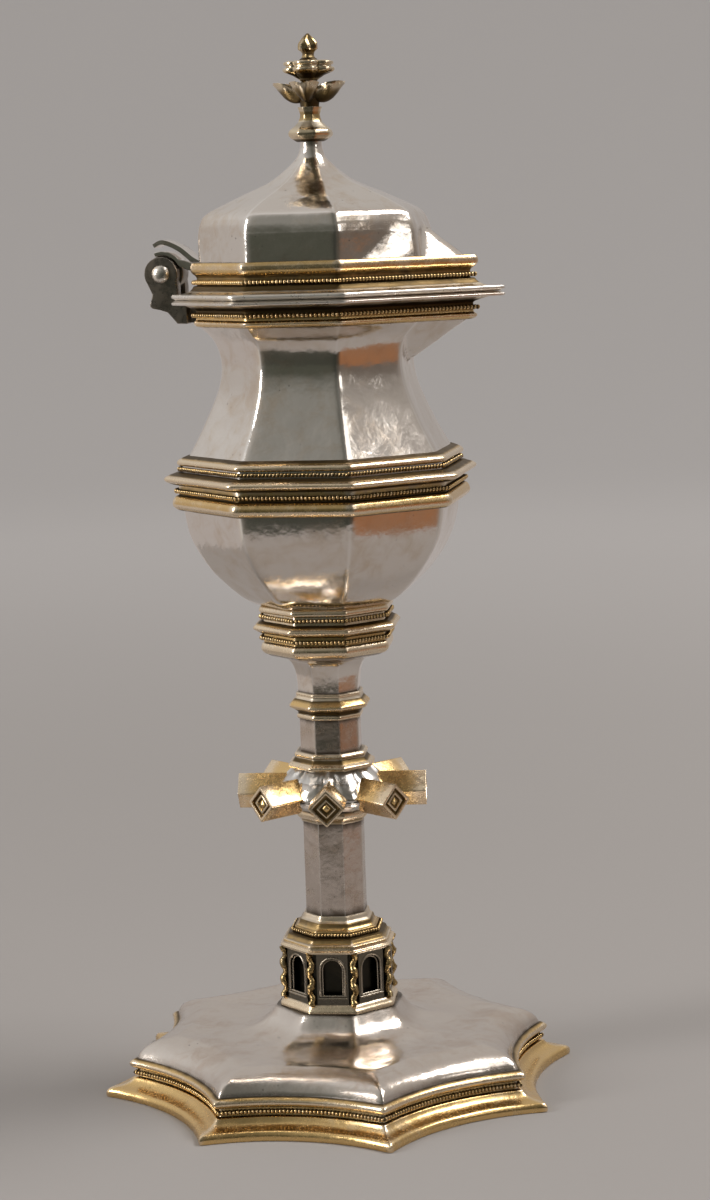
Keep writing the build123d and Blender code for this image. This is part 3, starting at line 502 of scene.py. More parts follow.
# ---------------------------------------------------------------- materials
class Graph:
    """A small helper to build the nodes of a material or a world in reading order."""

    def __init__(self, owner, coordinates="Object", clamped=True):
        owner.use_nodes = True
        self.owner = owner
        self.nodes = owner.node_tree.nodes
        self.links = owner.node_tree.links
        self.clamped = clamped
        self.place = self.add("ShaderNodeTexCoord").outputs[coordinates]

    def add(self, kind, **settings):
        node = self.nodes.new(kind)
        for key, value in settings.items():
            setattr(node, key, value)
        return node

    def feed(self, socket, value):
        """Set a socket to a number or a colour, or link it to another socket."""
        if isinstance(value, bpy.types.NodeSocket):
            self.links.new(value, socket)
        elif isinstance(value, tuple):
            socket.default_value = (*value, 1)
        else:
            socket.default_value = value

    def noise(self, scale, detail=4.0, roughness=0.55, stretch=None, distortion=0.0):
        """Noise whose scale is in waves per millimetre."""
        place = self.place
        if stretch:
            mapping = self.add("ShaderNodeMapping")
            mapping.inputs["Scale"].default_value = stretch
            self.feed(mapping.inputs["Vector"], place)
            place = mapping.outputs["Vector"]
        node = self.add("ShaderNodeTexNoise")
        node.inputs["Scale"].default_value = scale / MM
        node.inputs["Detail"].default_value = detail
        node.inputs["Roughness"].default_value = roughness
        node.inputs["Distortion"].default_value = distortion
        self.feed(node.inputs["Vector"], place)
        return node.outputs["Fac"]

    def cells(self, scale):
        node = self.add("ShaderNodeTexVoronoi")
        node.inputs["Scale"].default_value = scale / MM
        self.feed(node.inputs["Vector"], self.place)
        return node.outputs["Distance"]

    def attribute(self, name):
        return self.add("ShaderNodeAttribute", attribute_name=name).outputs["Fac"]

    def remap(self, value, low, high, to_low=0.0, to_high=1.0):
        node = self.add("ShaderNodeMapRange", interpolation_type="SMOOTHSTEP")
        node.inputs["From Min"].default_value = low
        node.inputs["From Max"].default_value = high
        node.inputs["To Min"].default_value = to_low
        node.inputs["To Max"].default_value = to_high
        self.feed(node.inputs["Value"], value)
        return node.outputs["Result"]

    def math(self, operation, *values):
        node = self.add("ShaderNodeMath", operation=operation,
                        use_clamp=self.clamped and operation != "SUBTRACT")
        for socket, value in zip(node.inputs, values):
            self.feed(socket, value)
        return node.outputs["Value"]

    def blend(self, first, share, second):
        """The share of the first value and the rest of the second, added together."""
        return self.math("ADD", self.math("MULTIPLY", first, share),
                         self.math("MULTIPLY", second, 1 - share))

    def mix(self, factor, first, second):
        node = self.add("ShaderNodeMix", data_type="RGBA")
        for socket, value in ((node.inputs["Factor"], factor), (node.inputs[6], first),
                              (node.inputs[7], second)):
            self.feed(socket, value)
        return node.outputs[2]

    def bump(self, height, strength, distance, normal=None):
        node = self.add("ShaderNodeBump")
        node.inputs["Strength"].default_value = strength
        node.inputs["Distance"].default_value = distance * MM
        self.feed(node.inputs["Height"], height)
        if normal:
            self.feed(node.inputs["Normal"], normal)
        return node.outputs["Normal"]

    def finish(self, colour, roughness, normal, metallic=1.0):
        shader = self.nodes["Principled BSDF"]
        shader.inputs["Metallic"].default_value = metallic
        self.feed(shader.inputs["Base Color"], colour)
        self.feed(shader.inputs["Roughness"], roughness)
        self.feed(shader.inputs["Normal"], normal)
        return shader


GRIME_REACH = 0.9               # how far grime covers the metal where it is deepest


def worn_metal(name, clean, tinted, dark, bright, roughness=(0.16, 0.34), tint=(0.45, 0.7),
               ripple=0.10, pits=0.35, grain=0.05):
    """Old polished metal: clean ground, tinted patches, dark recesses, and edges lightened by wear and
    by painted highlight.
    """
    graph = Graph(bpy.data.materials.new(name))
    broad = graph.noise(0.05, detail=3)
    patch = graph.noise(0.22, detail=5, roughness=0.6, distortion=0.6)
    fine = graph.noise(1.6, detail=6, roughness=0.65)
    scratch = graph.noise(1.1, detail=3, roughness=0.7, stretch=(1.0, 1.0, 9.0))
    crossing = graph.noise(1.3, detail=2, roughness=0.7, stretch=(7.0, 7.0, 0.8))
    speck = graph.remap(graph.cells(0.42), 0.05, 0.13, 1.0, 0.0)
    speck = graph.math("MULTIPLY", speck, graph.remap(graph.noise(0.09, detail=2), 0.52, 0.66))
    grime = graph.math("ADD", graph.attribute("grime"), graph.math("MULTIPLY", patch, 0.45))
    grime = graph.math("MULTIPLY", graph.remap(grime, 0.42, 1.0), GRIME_REACH)
    wear_and_highlight = graph.math("ADD", graph.attribute("wear_and_highlight"), graph.math("MULTIPLY", patch, 0.5))
    colour = graph.mix(graph.remap(graph.blend(broad, 0.5, patch), tint[0], tint[1]), clean, tinted)
    colour = graph.mix(graph.math("MULTIPLY", speck, pits), colour, dark)
    colour = graph.mix(grime, colour, dark)
    # Toward the bright colour where the wear value is high: rubbed wear, partly a painted highlight on
    # corners and proud edges.
    colour = graph.mix(graph.remap(wear_and_highlight, 0.62, 1.35), colour, bright)
    rough = graph.remap(graph.blend(patch, 0.6, fine), 0.3, 0.7, roughness[0], roughness[1])
    rough = graph.math("ADD", rough, graph.math("MULTIPLY", grime, 0.25))
    normal = graph.bump(graph.noise(0.28, detail=2), ripple, 0.5)
    normal = graph.bump(graph.blend(scratch, 0.5, crossing), 0.10, 0.05, normal)
    normal = graph.bump(graph.math("SUBTRACT", fine, graph.math("MULTIPLY", speck, 2.0)), 0.16, grain,
                        normal)
    graph.finish(colour, rough, normal)
    return graph.owner


silver = worn_metal("polished_silver", (0.76, 0.705, 0.65), (0.66, 0.56, 0.46), (0.055, 0.042, 0.03),
                    (0.94, 0.92, 0.89), roughness=(0.08, 0.22), pits=0.75, ripple=0.18)
foot_silver = worn_metal("foot_silver", (0.70, 0.635, 0.575), (0.60, 0.50, 0.42), (0.055, 0.042, 0.03),
                         (0.94, 0.92, 0.89), roughness=(0.13, 0.26), pits=0.7, ripple=0.20)
shaft_silver = worn_metal("shaft_silver", (0.62, 0.545, 0.485), (0.50, 0.41, 0.335),
                          (0.045, 0.032, 0.02), (0.93, 0.90, 0.86), roughness=(0.16, 0.30),
                          pits=0.8, ripple=0.22)
flange_silver = worn_metal("edge_silver", (0.80, 0.75, 0.69), (0.72, 0.64, 0.52), (0.025, 0.018, 0.01),
                           (0.95, 0.94, 0.91), roughness=(0.24, 0.38))
gilt = worn_metal("worn_gilding", (0.74, 0.51, 0.225), (0.68, 0.53, 0.33), (0.035, 0.022, 0.009),
                  (0.93, 0.84, 0.72), roughness=(0.17, 0.34), tint=(0.50, 0.72), pits=0.6, ripple=0.22)
rich_gilt = worn_metal("rich_gilding", (0.52, 0.37, 0.17), (0.42, 0.34, 0.215), (0.03, 0.018, 0.007),
                       (0.92, 0.82, 0.66), roughness=(0.13, 0.28), pits=0.5, ripple=0.25)
# Painted shade: a near-black metal for the arcade wall, standing for the shade deep inside its niches.
niche_shade_black = worn_metal("near_black_niche_shade", (0.030, 0.028, 0.022), (0.060, 0.050, 0.036),
                          (0.005, 0.004, 0.003), (0.55, 0.50, 0.42), roughness=(0.24, 0.42))
frame_silver = worn_metal("frame_silver", (0.50, 0.44, 0.36), (0.42, 0.34, 0.24),
                          (0.02, 0.015, 0.010), (0.86, 0.81, 0.72), roughness=(0.18, 0.34))
dark_frame = worn_metal("dark_frame_silver", (0.15, 0.135, 0.11), (0.20, 0.165, 0.11),
                        (0.012, 0.010, 0.007), (0.70, 0.66, 0.58), roughness=(0.22, 0.38))
hinge_silver = worn_metal("tarnished_silver", (0.27, 0.24, 0.21), (0.34, 0.28, 0.22),
                          (0.025, 0.02, 0.015), (0.80, 0.77, 0.72), roughness=(0.20, 0.38))
iron = worn_metal("forged_iron", (0.22, 0.20, 0.185), (0.26, 0.17, 0.11), (0.03, 0.02, 0.015),
                  (0.45, 0.42, 0.40), roughness=(0.42, 0.62), grain=0.12)


def molding(name, node, steps, back, rounding, outline=OCTAGON, turn=0.0, body="vessel", **settings):
    """A gilt molding with a flat back; its steps are (distance in, rise) from its outer face."""
    section = soften(rolled(steps_from(node, steps, outline, turn), back), rounding)
    ring_object(name, [node], body, section, gilt, outline, turn, **settings)


# ---------------------------------------------------------------- foot
ring_object(
    "foot_flange_shell", ["foot_flange"], "vessel", soften(steps_from("foot_flange", [
        (1.9, 0.0), (0.0, 0.0), (0.0, 1.5), (0.5, 2.35), (1.3, 2.6), (2.3, 2.72), (3.3, 3.05),
        (4.2, 3.6), (4.8, 4.3), (5.1, 4.9), (6.3, 4.9), (6.3, 7.3), (7.3, 7.3), (7.3, 3.9),
        (6.1, 3.9), (5.3, 3.1), (4.0, 2.2), (1.9, 1.2)], STAR), 0.45),
    gilt, STAR, edge=0.35, step=2.6, dents=(0.09, 7.0), joint_grime=0, recess=False)
bead_wire("foot_beads", "foot_bead_wire", "vessel", gilt, STAR, pitch=1.0, seed=2)
molding("foot_lip_shell", "foot_lip_molding", [
    (1.2, 0.0), (0.5, 0.35), (0.08, 0.9), (0.0, 1.4), (0.2, 1.95), (0.7, 2.35), (1.2, 2.6)],
    face_of("foot_lip_molding", STAR) - 2.9, 0.2, STAR, edge=0.3, step=2.6, dents=(0.06, 6.0),
    joint_grime=0.5)

foot_low, foot_high = box_mm("foot_dome")
dome_face = face_of("foot_dome", STAR)
dome_outside = (
    smooth(steps_from("foot_dome", [
        (0.0, 0.0), (0.6, 1.6), (2.1, 3.2), (4.6, 4.5), (8.4, 5.5)], STAR), 5)[:-1]
    + smooth(steps_from("foot_dome", [
        (8.4, 5.5), (11.5, 5.45), (17.0, 5.3), (22.5, 5.5), (26.2, 6.3), (29.4, 8.3)], STAR)
        + [(dome_face - 31.9, foot_high.z)], 4))
dome_inside = [(face - SHEET, height - SHEET) for face, height in reversed(dome_outside)]
dome_section = (dome_outside + [(ROD_HOLE, foot_high.z), (ROD_HOLE, foot_high.z - 1.6)]
                + [point for point in dome_inside if point[1] > foot_low.z]
                + [(dome_face - SHEET, foot_low.z)])
# The foot's corners get only a little of the rubbed wear and painted highlight.
ring_object("foot_dome_shell", ["foot_dome"], "vessel", dome_section, foot_silver, STAR, edge=0.5,
            step=2.6, dents=(0.16, 8.0), joint_grime=0.8, recess=False, corner_rub_and_highlight_share=0.2)

# ---------------------------------------------------------------- arcade
molding("arcade_base_plate", "arcade_base", [
    (0.1, 0.0), (0.0, 0.5), (0.1, 0.95), (0.5, 1.4), (0.75, 1.9), (1.2, 2.4)],
    ROD_HOLE, 0.2, turn=STEM_TURN, dents=(0.07, 3.0), joint_grime=0.4)
molding("arcade_roof", "arcade_cornice", [
    (0.1, 0.0), (0.0, 0.6), (0.75, 0.95), (0.75, 2.0), (1.3, 2.25), (1.75, 2.5), (2.1, 3.3),
    (3.1, 3.7), (3.9, 3.7), (3.9, 5.2), (4.5, 5.45), (5.05, 6.0), (5.25, 6.8), (5.75, 7.2),
    (6.15, 7.6), (6.3, 8.2), (6.5, 8.8)],
    ROD_HOLE, 0.14, turn=STEM_TURN, dents=(0.05, 3.0), joint_grime=0.3)
bead_wire("arcade_beads", "arcade_bead_wire", "vessel", gilt, turn=STEM_TURN, pitch=0.86, seed=3)

BRANCH_WAVES = 3
BRANCH_STEPS = 42
BRANCH_KNOTS = 9


def branch_path(degrees, flip):
    """A lopped branch that winds up a corner of the arcade: swellings where twigs were cut."""
    low, high = box_mm("arcade_buttresses")
    distance = (high.x - low.x) / 2 / math.cos(math.radians(HALF_SECTOR - STEM_TURN)) - 1.2
    path = []
    for number in range(BRANCH_STEPS + 1):
        share = number / BRANCH_STEPS
        swing = math.cos(2 * math.pi * BRANCH_WAVES * share)
        aside = flip * 0.35 * math.sin(2 * math.pi * BRANCH_WAVES * share)
        knot = math.exp(-((share * BRANCH_KNOTS + 0.35 * math.sin(degrees)) % 1 - 0.5) ** 2 / 0.03)
        radius = 0.78 + 0.22 * max(swing, 0) ** 2 + 0.16 * knot
        height = low.z + share * (high.z - low.z)
        path.append((around_stem(distance + 0.38 * swing, degrees, height, aside), radius))
    return path


branches = tube_object(
    "arcade_branches",
    [branch_path(STEM_TURN + HALF_SECTOR + SECTOR * number, 1 if number % 2 else -1)
     for number in range(FACES)], rich_gilt)
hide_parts("arcade_buttresses")


def arch_points(half, sill, spring):
    """A round-headed arch seen from outside, from its left foot over the head to its right foot."""
    points = [(-half, sill), (-half, (sill + spring) / 2), (-half, spring)]
    for number in range(1, ARCH_STEPS):
        angle = math.pi * number / ARCH_STEPS
        points.append((-half * math.cos(angle), spring + half * math.sin(angle)))
    return points + [(half, spring), (half, (sill + spring) / 2), (half, sill)]


wall_bottom = box_mm("arcade_wall")[0].z
wall_face = face_of("arcade_wall", turn=STEM_TURN)
frame_face = wall_face + 0.8
arch_paths = []
for number in range(FACES):
    direction = STEM_TURN + SECTOR * number
    for half, proud, thick in ((3.35, frame_face - 0.1, 0.34), (2.75, wall_face + 0.1, 0.26)):
        arch_paths.append([
            (around_stem(proud, direction, height, side), thick)
            for side, height in arch_points(half, wall_bottom + 2.3, wall_bottom + 9.5)])
    for half, proud, rise in ((3.9, frame_face - 0.05, 1.7), (3.4, frame_face - 0.25, 2.3)):
        arch_paths.append([
            (around_stem(proud, direction, wall_bottom + rise, side), 0.3)
            for side in (-half, -half / 2, 0, half / 2, half)])
tube_object("arcade_arch_moldings", arch_paths, frame_silver)

# ---------------------------------------------------------------- stem
SHAFT_LEVELS = 8
SHAFT_WALL = 0.95
for node, name in (("lower_shaft", "lower_shaft_tube"), ("upper_shaft", "upper_shaft_tube")):
    low, high = box_mm(node)
    face = face_of(node, turn=STEM_TURN)
    rise = high.z - low.z
    section = [(face, low.z + rise * number / SHAFT_LEVELS) for number in range(SHAFT_LEVELS + 1)]
    section += [(face - SHAFT_WALL, high.z), (face - SHAFT_WALL, low.z)]
    ring_object(name, [node], "vessel", section, shaft_silver, turn=STEM_TURN, edge=0.12,
                dents=(0.05, 5.0), joint_grime=1.4, recess=False)

molding("lower_collar_ring", "lower_knop_collar", [
    (1.4, 0.0), (1.25, 0.35), (1.3, 0.7), (0.75, 1.05), (0.2, 1.7), (0.0, 2.3), (0.05, 2.8),
    (0.3, 3.4)], ROD_HOLE, 0.15, dents=SMALL_DENTS, joint_grime=0.4, **STEM)
molding("upper_collar_ring", "upper_knop_collar", [
    (0.6, 0.0), (0.05, 0.4), (0.0, 0.85), (0.15, 1.2), (0.85, 1.6), (1.5, 2.1), (1.95, 2.7),
    (2.05, 3.15), (1.7, 3.5), (1.75, 3.9), (2.3, 4.4)],
    ROD_HOLE, 0.15, dents=SMALL_DENTS, joint_grime=0.4, **STEM)
molding("stem_ring_body", "stem_ring", [
    (2.1, 0.0), (1.9, 0.4), (1.95, 1.0), (2.35, 1.5), (1.9, 2.1), (1.0, 2.7), (0.15, 3.1),
    (0.0, 3.5), (0.1, 3.95), (0.8, 4.6), (1.5, 5.3), (1.9, 6.2), (1.75, 6.8), (2.1, 7.2)],
    ROD_HOLE, 0.2, dents=(0.05, 3.0), joint_grime=0.5, **STEM)

flare_low, flare_high = box_mm("bowl_stem_flare")
flare_outside = smooth(
    steps_from("bowl_stem_flare", [(7.5, 0.0), (7.3, 3.2), (6.9, 5.8), (5.7, 8.4), (3.4, 9.9)],
               turn=STEM_TURN)
    + [(face_of("bowl_stem_flare", turn=STEM_TURN), flare_high.z)], 5)
ring_object("bowl_stem_flare_shell", ["bowl_stem_flare"], "vessel",
            flare_outside + [(face - 1.0, max(height - 0.6, flare_low.z))
                             for face, height in reversed(flare_outside)],
            silver, dents=(0.06, 5.0), joint_grime=0.8, recess=False, **STEM)

# ---------------------------------------------------------------- knop
VEIN_WIDTH = 1.7                # of the raised vein between two bosses, in degrees
HOLLOW_WIDTH = 6.5              # of the hollow on each side of the vein


def petal_radius(degrees, face, height):
    """The knop between its bosses: leaves with a raised middle vein and small side veins."""
    across = abs(degrees % SECTOR - HALF_SECTOR) / HALF_SECTOR
    from_vein = (1 - across) * HALF_SECTOR
    vein = 0.42 * math.exp(-(from_vein / VEIN_WIDTH) ** 2)
    hollow = -0.45 * math.exp(-(from_vein / HOLLOW_WIDTH - 1.1) ** 2 * 2.2)
    rib = 0.10 * math.sin(height * 2.6 + (1 - across) * 9.0)
    return outline_radius(OCTAGON, degrees, face, 0.6) + vein + hollow + rib * (0.4 + 0.6 * across)


upper_low, upper_high = box_mm("knop_upper_shell")
upper_face = face_of("knop_upper_shell", turn=KNOP_TURN)
upper_section = smooth(
    steps_from("knop_upper_shell", [(0.9, 0.0), (0.75, 1.0), (1.9, 3.8), (4.3, 6.4)], turn=KNOP_TURN)
    + [(upper_face - 5.6, upper_high.z)], 6)
upper_section += [(ROD_HOLE, upper_high.z), (ROD_HOLE, upper_high.z - 1.1),
                  (upper_face - 4.2, upper_low.z)]
lower_low, lower_high = box_mm("knop_lower_shell")
lower_face = face_of("knop_lower_shell", turn=KNOP_TURN)
lower_section = [(ROD_HOLE, lower_low.z)] + smooth(
    steps_from("knop_lower_shell", [(6.2, 0.0), (3.5, 0.9), (1.4, 2.4)], turn=KNOP_TURN)
    + [(lower_face - 0.55, lower_high.z)], 5)
lower_section += [(lower_face - 4.2, lower_high.z), (lower_face - 6.4, lower_low.z + 1.1),
                  (ROD_HOLE, lower_low.z + 1.1)]
for name, node, section in (("knop_upper_petals", "knop_upper_shell", upper_section),
                            ("knop_lower_petals", "knop_lower_shell", lower_section)):
    ring_object(name, [node], "vessel", section, silver, turn=KNOP_TURN, step=1.6,
                radius=petal_radius, dents=(0.10, 2.2), joint_grime=1.0)

boss_low, boss_high = box_mm("knop_bosses")
boss_height = (boss_low.z + boss_high.z) / 2
boss_half = (boss_high.z - boss_low.z) / 2 / math.sqrt(2)
boss_end = 25.3
boss_floor = boss_end - 1.0


def boss_part(section, degrees):
    """A square bar on edge, pointing away from the axis; its section is (half side, distance)."""
    outline = soften(section, 0.16, closed=False)
    angles = sample_angles(SQUARE, 30, (0.0, 1.6, 4.0))
    peak = max(distance for _, distance in outline)
    surface = Surface()
    for half, distance in outline:
        sunk = peak - distance
        for angle in angles:
            reach = outline_radius(SQUARE, angle, half, 0.12) if half > POINTED else 0.0
            turned = math.radians(angle + 45)
            place = around_stem(distance, degrees, boss_height + reach * math.sin(turned),
                                reach * math.cos(turned))
            surface.add(place, 0.62 if 0.35 < sunk < 1.6 else 0.15, 0.9 if sunk < 0.2 else 0.15)
    surface.join_rings(len(angles), capped=True)
    return surface


bar = [(boss_half, 12.0), (boss_half, 17.0), (boss_half, boss_end), (boss_half - 0.75, boss_end),
       (boss_half - 0.85, boss_floor), (POINTED, boss_floor)]
nest = [(1.95, boss_floor), (1.9, boss_end - 0.35), (1.4, boss_end - 0.3), (1.3, boss_floor + 0.15),
        (POINTED, boss_floor + 0.1)]
stud = [(0.95, boss_floor + 0.1), (0.75, boss_floor + 0.45), (POINTED, boss_floor + 0.75)]
for name, node, section, material, dents in (
        ("knop_boss_bars", "knop_bosses", bar, gilt, SMALL_DENTS),
        ("knop_boss_frames", "boss_frames", nest, rich_gilt, (0.02, 2.0)),
        ("knop_boss_studs", "boss_studs", stud, gilt, (0.02, 2.0))):
    bosses = [boss_part(section, KNOP_TURN + SECTOR * number) for number in range(FACES)]
    merged_object(name, bosses, node, "vessel", material, dents)

# ---------------------------------------------------------------- collar under the bowl
ring_object(
    "collar_core_ring", ["bowl_collar_core"], "vessel", soften(steps_from("bowl_collar_core", [
        (1.3, 0.0), (0.6, 0.5), (0.1, 1.2), (0.0, 1.9), (0.15, 2.6), (0.5, 3.1), (0.9, 3.4),
        (0.9, 11.2), (8.0, 11.2), (8.0, 9.9), (2.1, 9.9), (2.1, 1.6), (9.0, 1.6), (9.0, 0.0)],
        turn=STEM_TURN), 0.25),
    gilt, joint_grime=0, **STEM)
bead_wire("collar_beads_lower", "collar_bead_lower", "vessel", gilt, turn=STEM_TURN, seed=5)
bead_wire("collar_beads_upper", "collar_bead_upper", "vessel", gilt, turn=STEM_TURN, seed=6)
molding("collar_lip_ring", "bowl_collar_lip", [
    (2.1, 0.0), (1.4, 0.35), (0.5, 0.9), (0.05, 1.25), (0.0, 1.65), (0.35, 2.15), (1.0, 2.6),
    (1.7, 2.9), (2.1, 3.2)], face_of("bowl_collar_lip", turn=STEM_TURN) - 2.8, 0.2,
    dents=(0.06, 4.0), joint_grime=0.3, **STEM)
molding("collar_cap_ring", "bowl_collar_cap", [
    (0.4, 0.0), (0.05, 0.4), (0.0, 0.9), (0.2, 1.5), (0.7, 2.0)],
    face_of("bowl_collar_cap", turn=STEM_TURN) - 2.3, 0.15,
    dents=(0.05, 4.0), joint_grime=0.3, **STEM)

# ---------------------------------------------------------------- bowl and belt
bowl_low, bowl_high = box_mm("bowl_shell")
bowl_face = face_of("bowl_shell")
bowl_outside = smooth(
    steps_from("bowl_shell", [(17.2, 0.0), (13.0, 2.6), (6.5, 9.4), (1.8, 17.6), (0.0, 26.2)])
    + [(bowl_face, bowl_high.z)], 8)
bowl_inside = [(face - SHEET, height + SHEET) for face, height in bowl_outside
               if height < bowl_high.z - 1]
ring_object("bowl_shell_raised", ["bowl_shell"], "vessel",
            bowl_outside + [(bowl_face - SHEET, bowl_high.z)] + list(reversed(bowl_inside))
            + [(0.2, bowl_low.z + SHEET), (0.2, bowl_low.z)],
            silver, edge=0.35, step=4.0, dents=SHEET_DENTS, joint_grime=0, recess=False)

molding("belt_lower_roll", "belt_lower_molding", [
    (1.8, 0.0), (0.9, 0.45), (0.2, 1.1), (0.0, 1.8), (0.1, 2.6), (0.5, 3.4), (1.1, 3.9),
    (1.8, 4.1), (1.8, 6.8)], bowl_face, 0.25, edge=0.25, dents=(0.08, 7.0), joint_grime=0.4)
bead_wire("belt_beads", "belt_bead_lower", "vessel", gilt, seed=7)
molding("belt_lip_ring", "belt_lip", [
    (2.6, 0.0), (1.6, 0.4), (0.6, 0.8), (0.05, 1.25), (0.0, 1.7), (0.3, 2.1), (1.2, 2.55),
    (2.4, 2.9), (3.0, 3.2)], bowl_face, 0.25, edge=0.25, dents=(0.08, 7.0), joint_grime=0.3)
bead_wire("belt_rope", "belt_rope_upper", "vessel", gilt, pitch=0.95, lean=48, long=0.56,
          thick=0.36, seed=8)

neck_top = box_mm("neck_shell")[1].z
rim_base = box_mm("rim_molding")[0].z
rim_face = 28.8
SPOUT_KEEL = (24.4, 194.6)      # where the keel of the spout leaves the waist: distance, height
INNER_CUT = 1.2 * SHEET         # how far the hollow of a spout or beak stays back from its outside
NEAR_LEVEL = 0.01               # heights this near to each other count as the same


def wedge_radius(degrees, height, base_height, base_face, keel):
    """Distance to the two flat flanks that run from the beaked outline to the keel's far end."""
    share = (height - base_height) / (keel[1] - base_height)
    face = base_face + (keel[0] / math.sqrt(2) - base_face) * share
    off = abs(turn_between(degrees))
    if face <= 0 or off > HALF_SECTOR + 3:
        return 0.0
    return face / math.cos(math.radians(SECTOR - off))


def neck_radius(degrees, face, height):
    """The neck is an octagon that a wedge joins on the beak's side, and beaked in the rim."""
    if height >= rim_base - NEAR_LEVEL:
        return outline_radius(BEAKED, degrees, face, 0.3)
    plain = outline_radius(OCTAGON, degrees, face, 0.3)
    wedge = wedge_radius(degrees, height, rim_base, rim_face, SPOUT_KEEL)
    if face < neck_outer_face(height) - SHEET / 2:
        wedge -= INNER_CUT
    return soft_max(plain, wedge, 0.2) if wedge > 0 else plain


NECK_CURVE = [(34.6, 163.0), (34.6, 169.2), (33.2, 171.2), (28.5, 180.3), (25.1, 188.8), (24.1, 195.4),
              (25.4, 201.2), (28.8, 205.3)]


def neck_outer_face(height):
    """Distance of the neck's faces from the axis at a height."""
    for (low_face, low), (high_face, high) in zip(neck_outside, neck_outside[1:]):
        if low <= height <= high:
            share = (height - low) / max(high - low, SAME_PLACE)
            return low_face + (high_face - low_face) * share
    return neck_outside[-1][0]


neck_outside = smooth(NECK_CURVE, 8)
neck_section = (neck_outside + [(rim_face, rim_base + 0.3), (rim_face, neck_top)]
                + [(rim_face - SHEET, neck_top), (rim_face - SHEET, rim_base + 0.3)]
                + [(face - SHEET, height) for face, height in reversed(neck_outside)])
ring_object("neck_shell_raised", ["neck_shell"], "vessel", neck_section, silver, edge=0.3, step=3.0,
            dents=SHEET_DENTS, radius=neck_radius, joint_grime=0, recess=False)
molding("belt_cap_ring", "belt_upper_molding", [
    (0.5, 0.0), (0.1, 0.35), (0.0, 0.75), (0.15, 1.2), (0.6, 1.6), (1.6, 2.1), (2.8, 2.6)],
    bowl_face - 1.6, 0.2, edge=0.25, dents=(0.06, 7.0), joint_grime=0.3)

# ---------------------------------------------------------------- rim
molding("rim_molding_ring", "rim_molding", [
    (3.7, 0.0), (2.9, 0.3), (2.45, 0.8), (2.4, 1.2), (2.7, 1.6), (3.1, 1.9), (3.1, 4.4),
    (2.6, 4.75), (1.6, 5.2), (0.4, 5.7), (0.0, 5.9)], rim_face, 0.22,
    **BEAKED_MOLDING)
bead_wire("rim_beads", "rim_bead_wire", "vessel", gilt, BEAKED, pitch=1.12, seed=9)

GAP_OPENING = 0.35              # the rounded edges of the two flanges leave a dark line between them
for node, name, body, gap_on_top in (("rim_flange", "rim_flange_plate", "vessel", True),
                                     ("lid_flange", "lid_flange_plate", "lid", False)):
    low, high = box_mm(node)
    face = face_of(node, BEAKED)
    thick = high.z - low.z
    opening = [0.0, GAP_OPENING] if gap_on_top else [GAP_OPENING, 0.0]
    ring_object(name, [node], body, soften(rolled([
        (face - 0.3 - 2 * opening[0], low.z), (face - 0.1, low.z + 0.15 * thick + opening[0]),
        (face, low.z + 0.5 * thick), (face - 0.1, high.z - 0.15 * thick - opening[1]),
        (face - 0.3 - 2 * opening[1], high.z)], rim_face - SHEET), 0.12),
        flange_silver, BEAKED, edge=0.3, step=4.0, dents=(0.03, 9.0), joint_grime=0, recess=False)

# ---------------------------------------------------------------- lid
lid_low, lid_high = box_mm("lid_shell")
lid_face = (lid_high.y - lid_low.y) / 2
molding("lid_molding_ring", "lid_molding", [
    (-0.05, 0.0), (0.9, 0.3), (1.7, 0.8), (2.3, 1.5), (2.6, 2.1), (3.4, 2.1), (3.4, 4.2),
    (3.1, 4.7), (2.5, 5.2), (2.1, 5.7), (1.9, 6.2), (1.9, 7.2), (2.3, 7.9), (2.5, 8.1)],
    lid_face, 0.22, body="lid", **BEAKED_MOLDING)
bead_wire("lid_beads", "lid_bead_wire", "lid", gilt, BEAKED, pitch=1.0, lean=20, long=0.42, seed=10)

dome_base = box_mm("lid_molding")[1].z
RIVET_HOLE = 1.25               # radius of the hole for the finial's rivet in the tip of the lid
FLANK_START = 6.5               # where the beak's flank leaves the wall, from the corner before it
FLANK_SPREAD = 0.105            # how much the flank stands out for each millimetre along the wall
FLANK_RISE = 12.0               # height of the flank's upper edge at the far end of the wall
BEAK_RIDGE = (28.3, 231.4)      # where the ridge of the beak meets the wall: distance, height
DOME_CURVE = [(28.6, 229.0), (28.1, 231.8), (26.4, 234.4), (20.1, 237.7), (10.6, 242.3),
              (4.6, 247.4), (3.1, 250.4), (2.9, 252.3)]


def lid_radius(degrees, face, height):
    """The lid is beaked in its molding and an octagon above, with the wedge of the beak on it."""
    if height <= dome_base + NEAR_LEVEL:
        return outline_radius(BEAKED, degrees, face, 0.3)
    plain = outline_radius(OCTAGON, degrees, face, 0.3)
    if height > BEAK_RIDGE[1] + 3:
        return plain
    wedge = wedge_radius(degrees, height, dome_base, lid_face, BEAK_RIDGE)
    if inside_lid(face, height):
        wedge -= INNER_CUT
    else:
        plain += beak_flare(degrees, height - dome_base)
    return soft_max(plain, wedge, 0.2) if wedge > 0 else plain


def beak_flare(degrees, rise):
    """The flanks of the beak cover part of the wall next to them, up to a slanting edge."""
    off = abs(turn_between(degrees))
    if off > HALF_SECTOR + SECTOR:
        return 0.0
    half_wall = lid_face * math.tan(math.radians(HALF_SECTOR))
    along = half_wall - lid_face * math.tan(math.radians(off - SECTOR)) - FLANK_START
    lean = (2 * half_wall - FLANK_START) / FLANK_RISE
    return FLANK_SPREAD * max(min(along, 2 * half_wall - FLANK_START) - lean * rise, 0)


def inside_lid(face, height):
    """Whether a point of the wall's section lies on the inner side of the sheet."""
    return height < DOME_CURVE[0][1] and face < lid_face - SHEET / 2


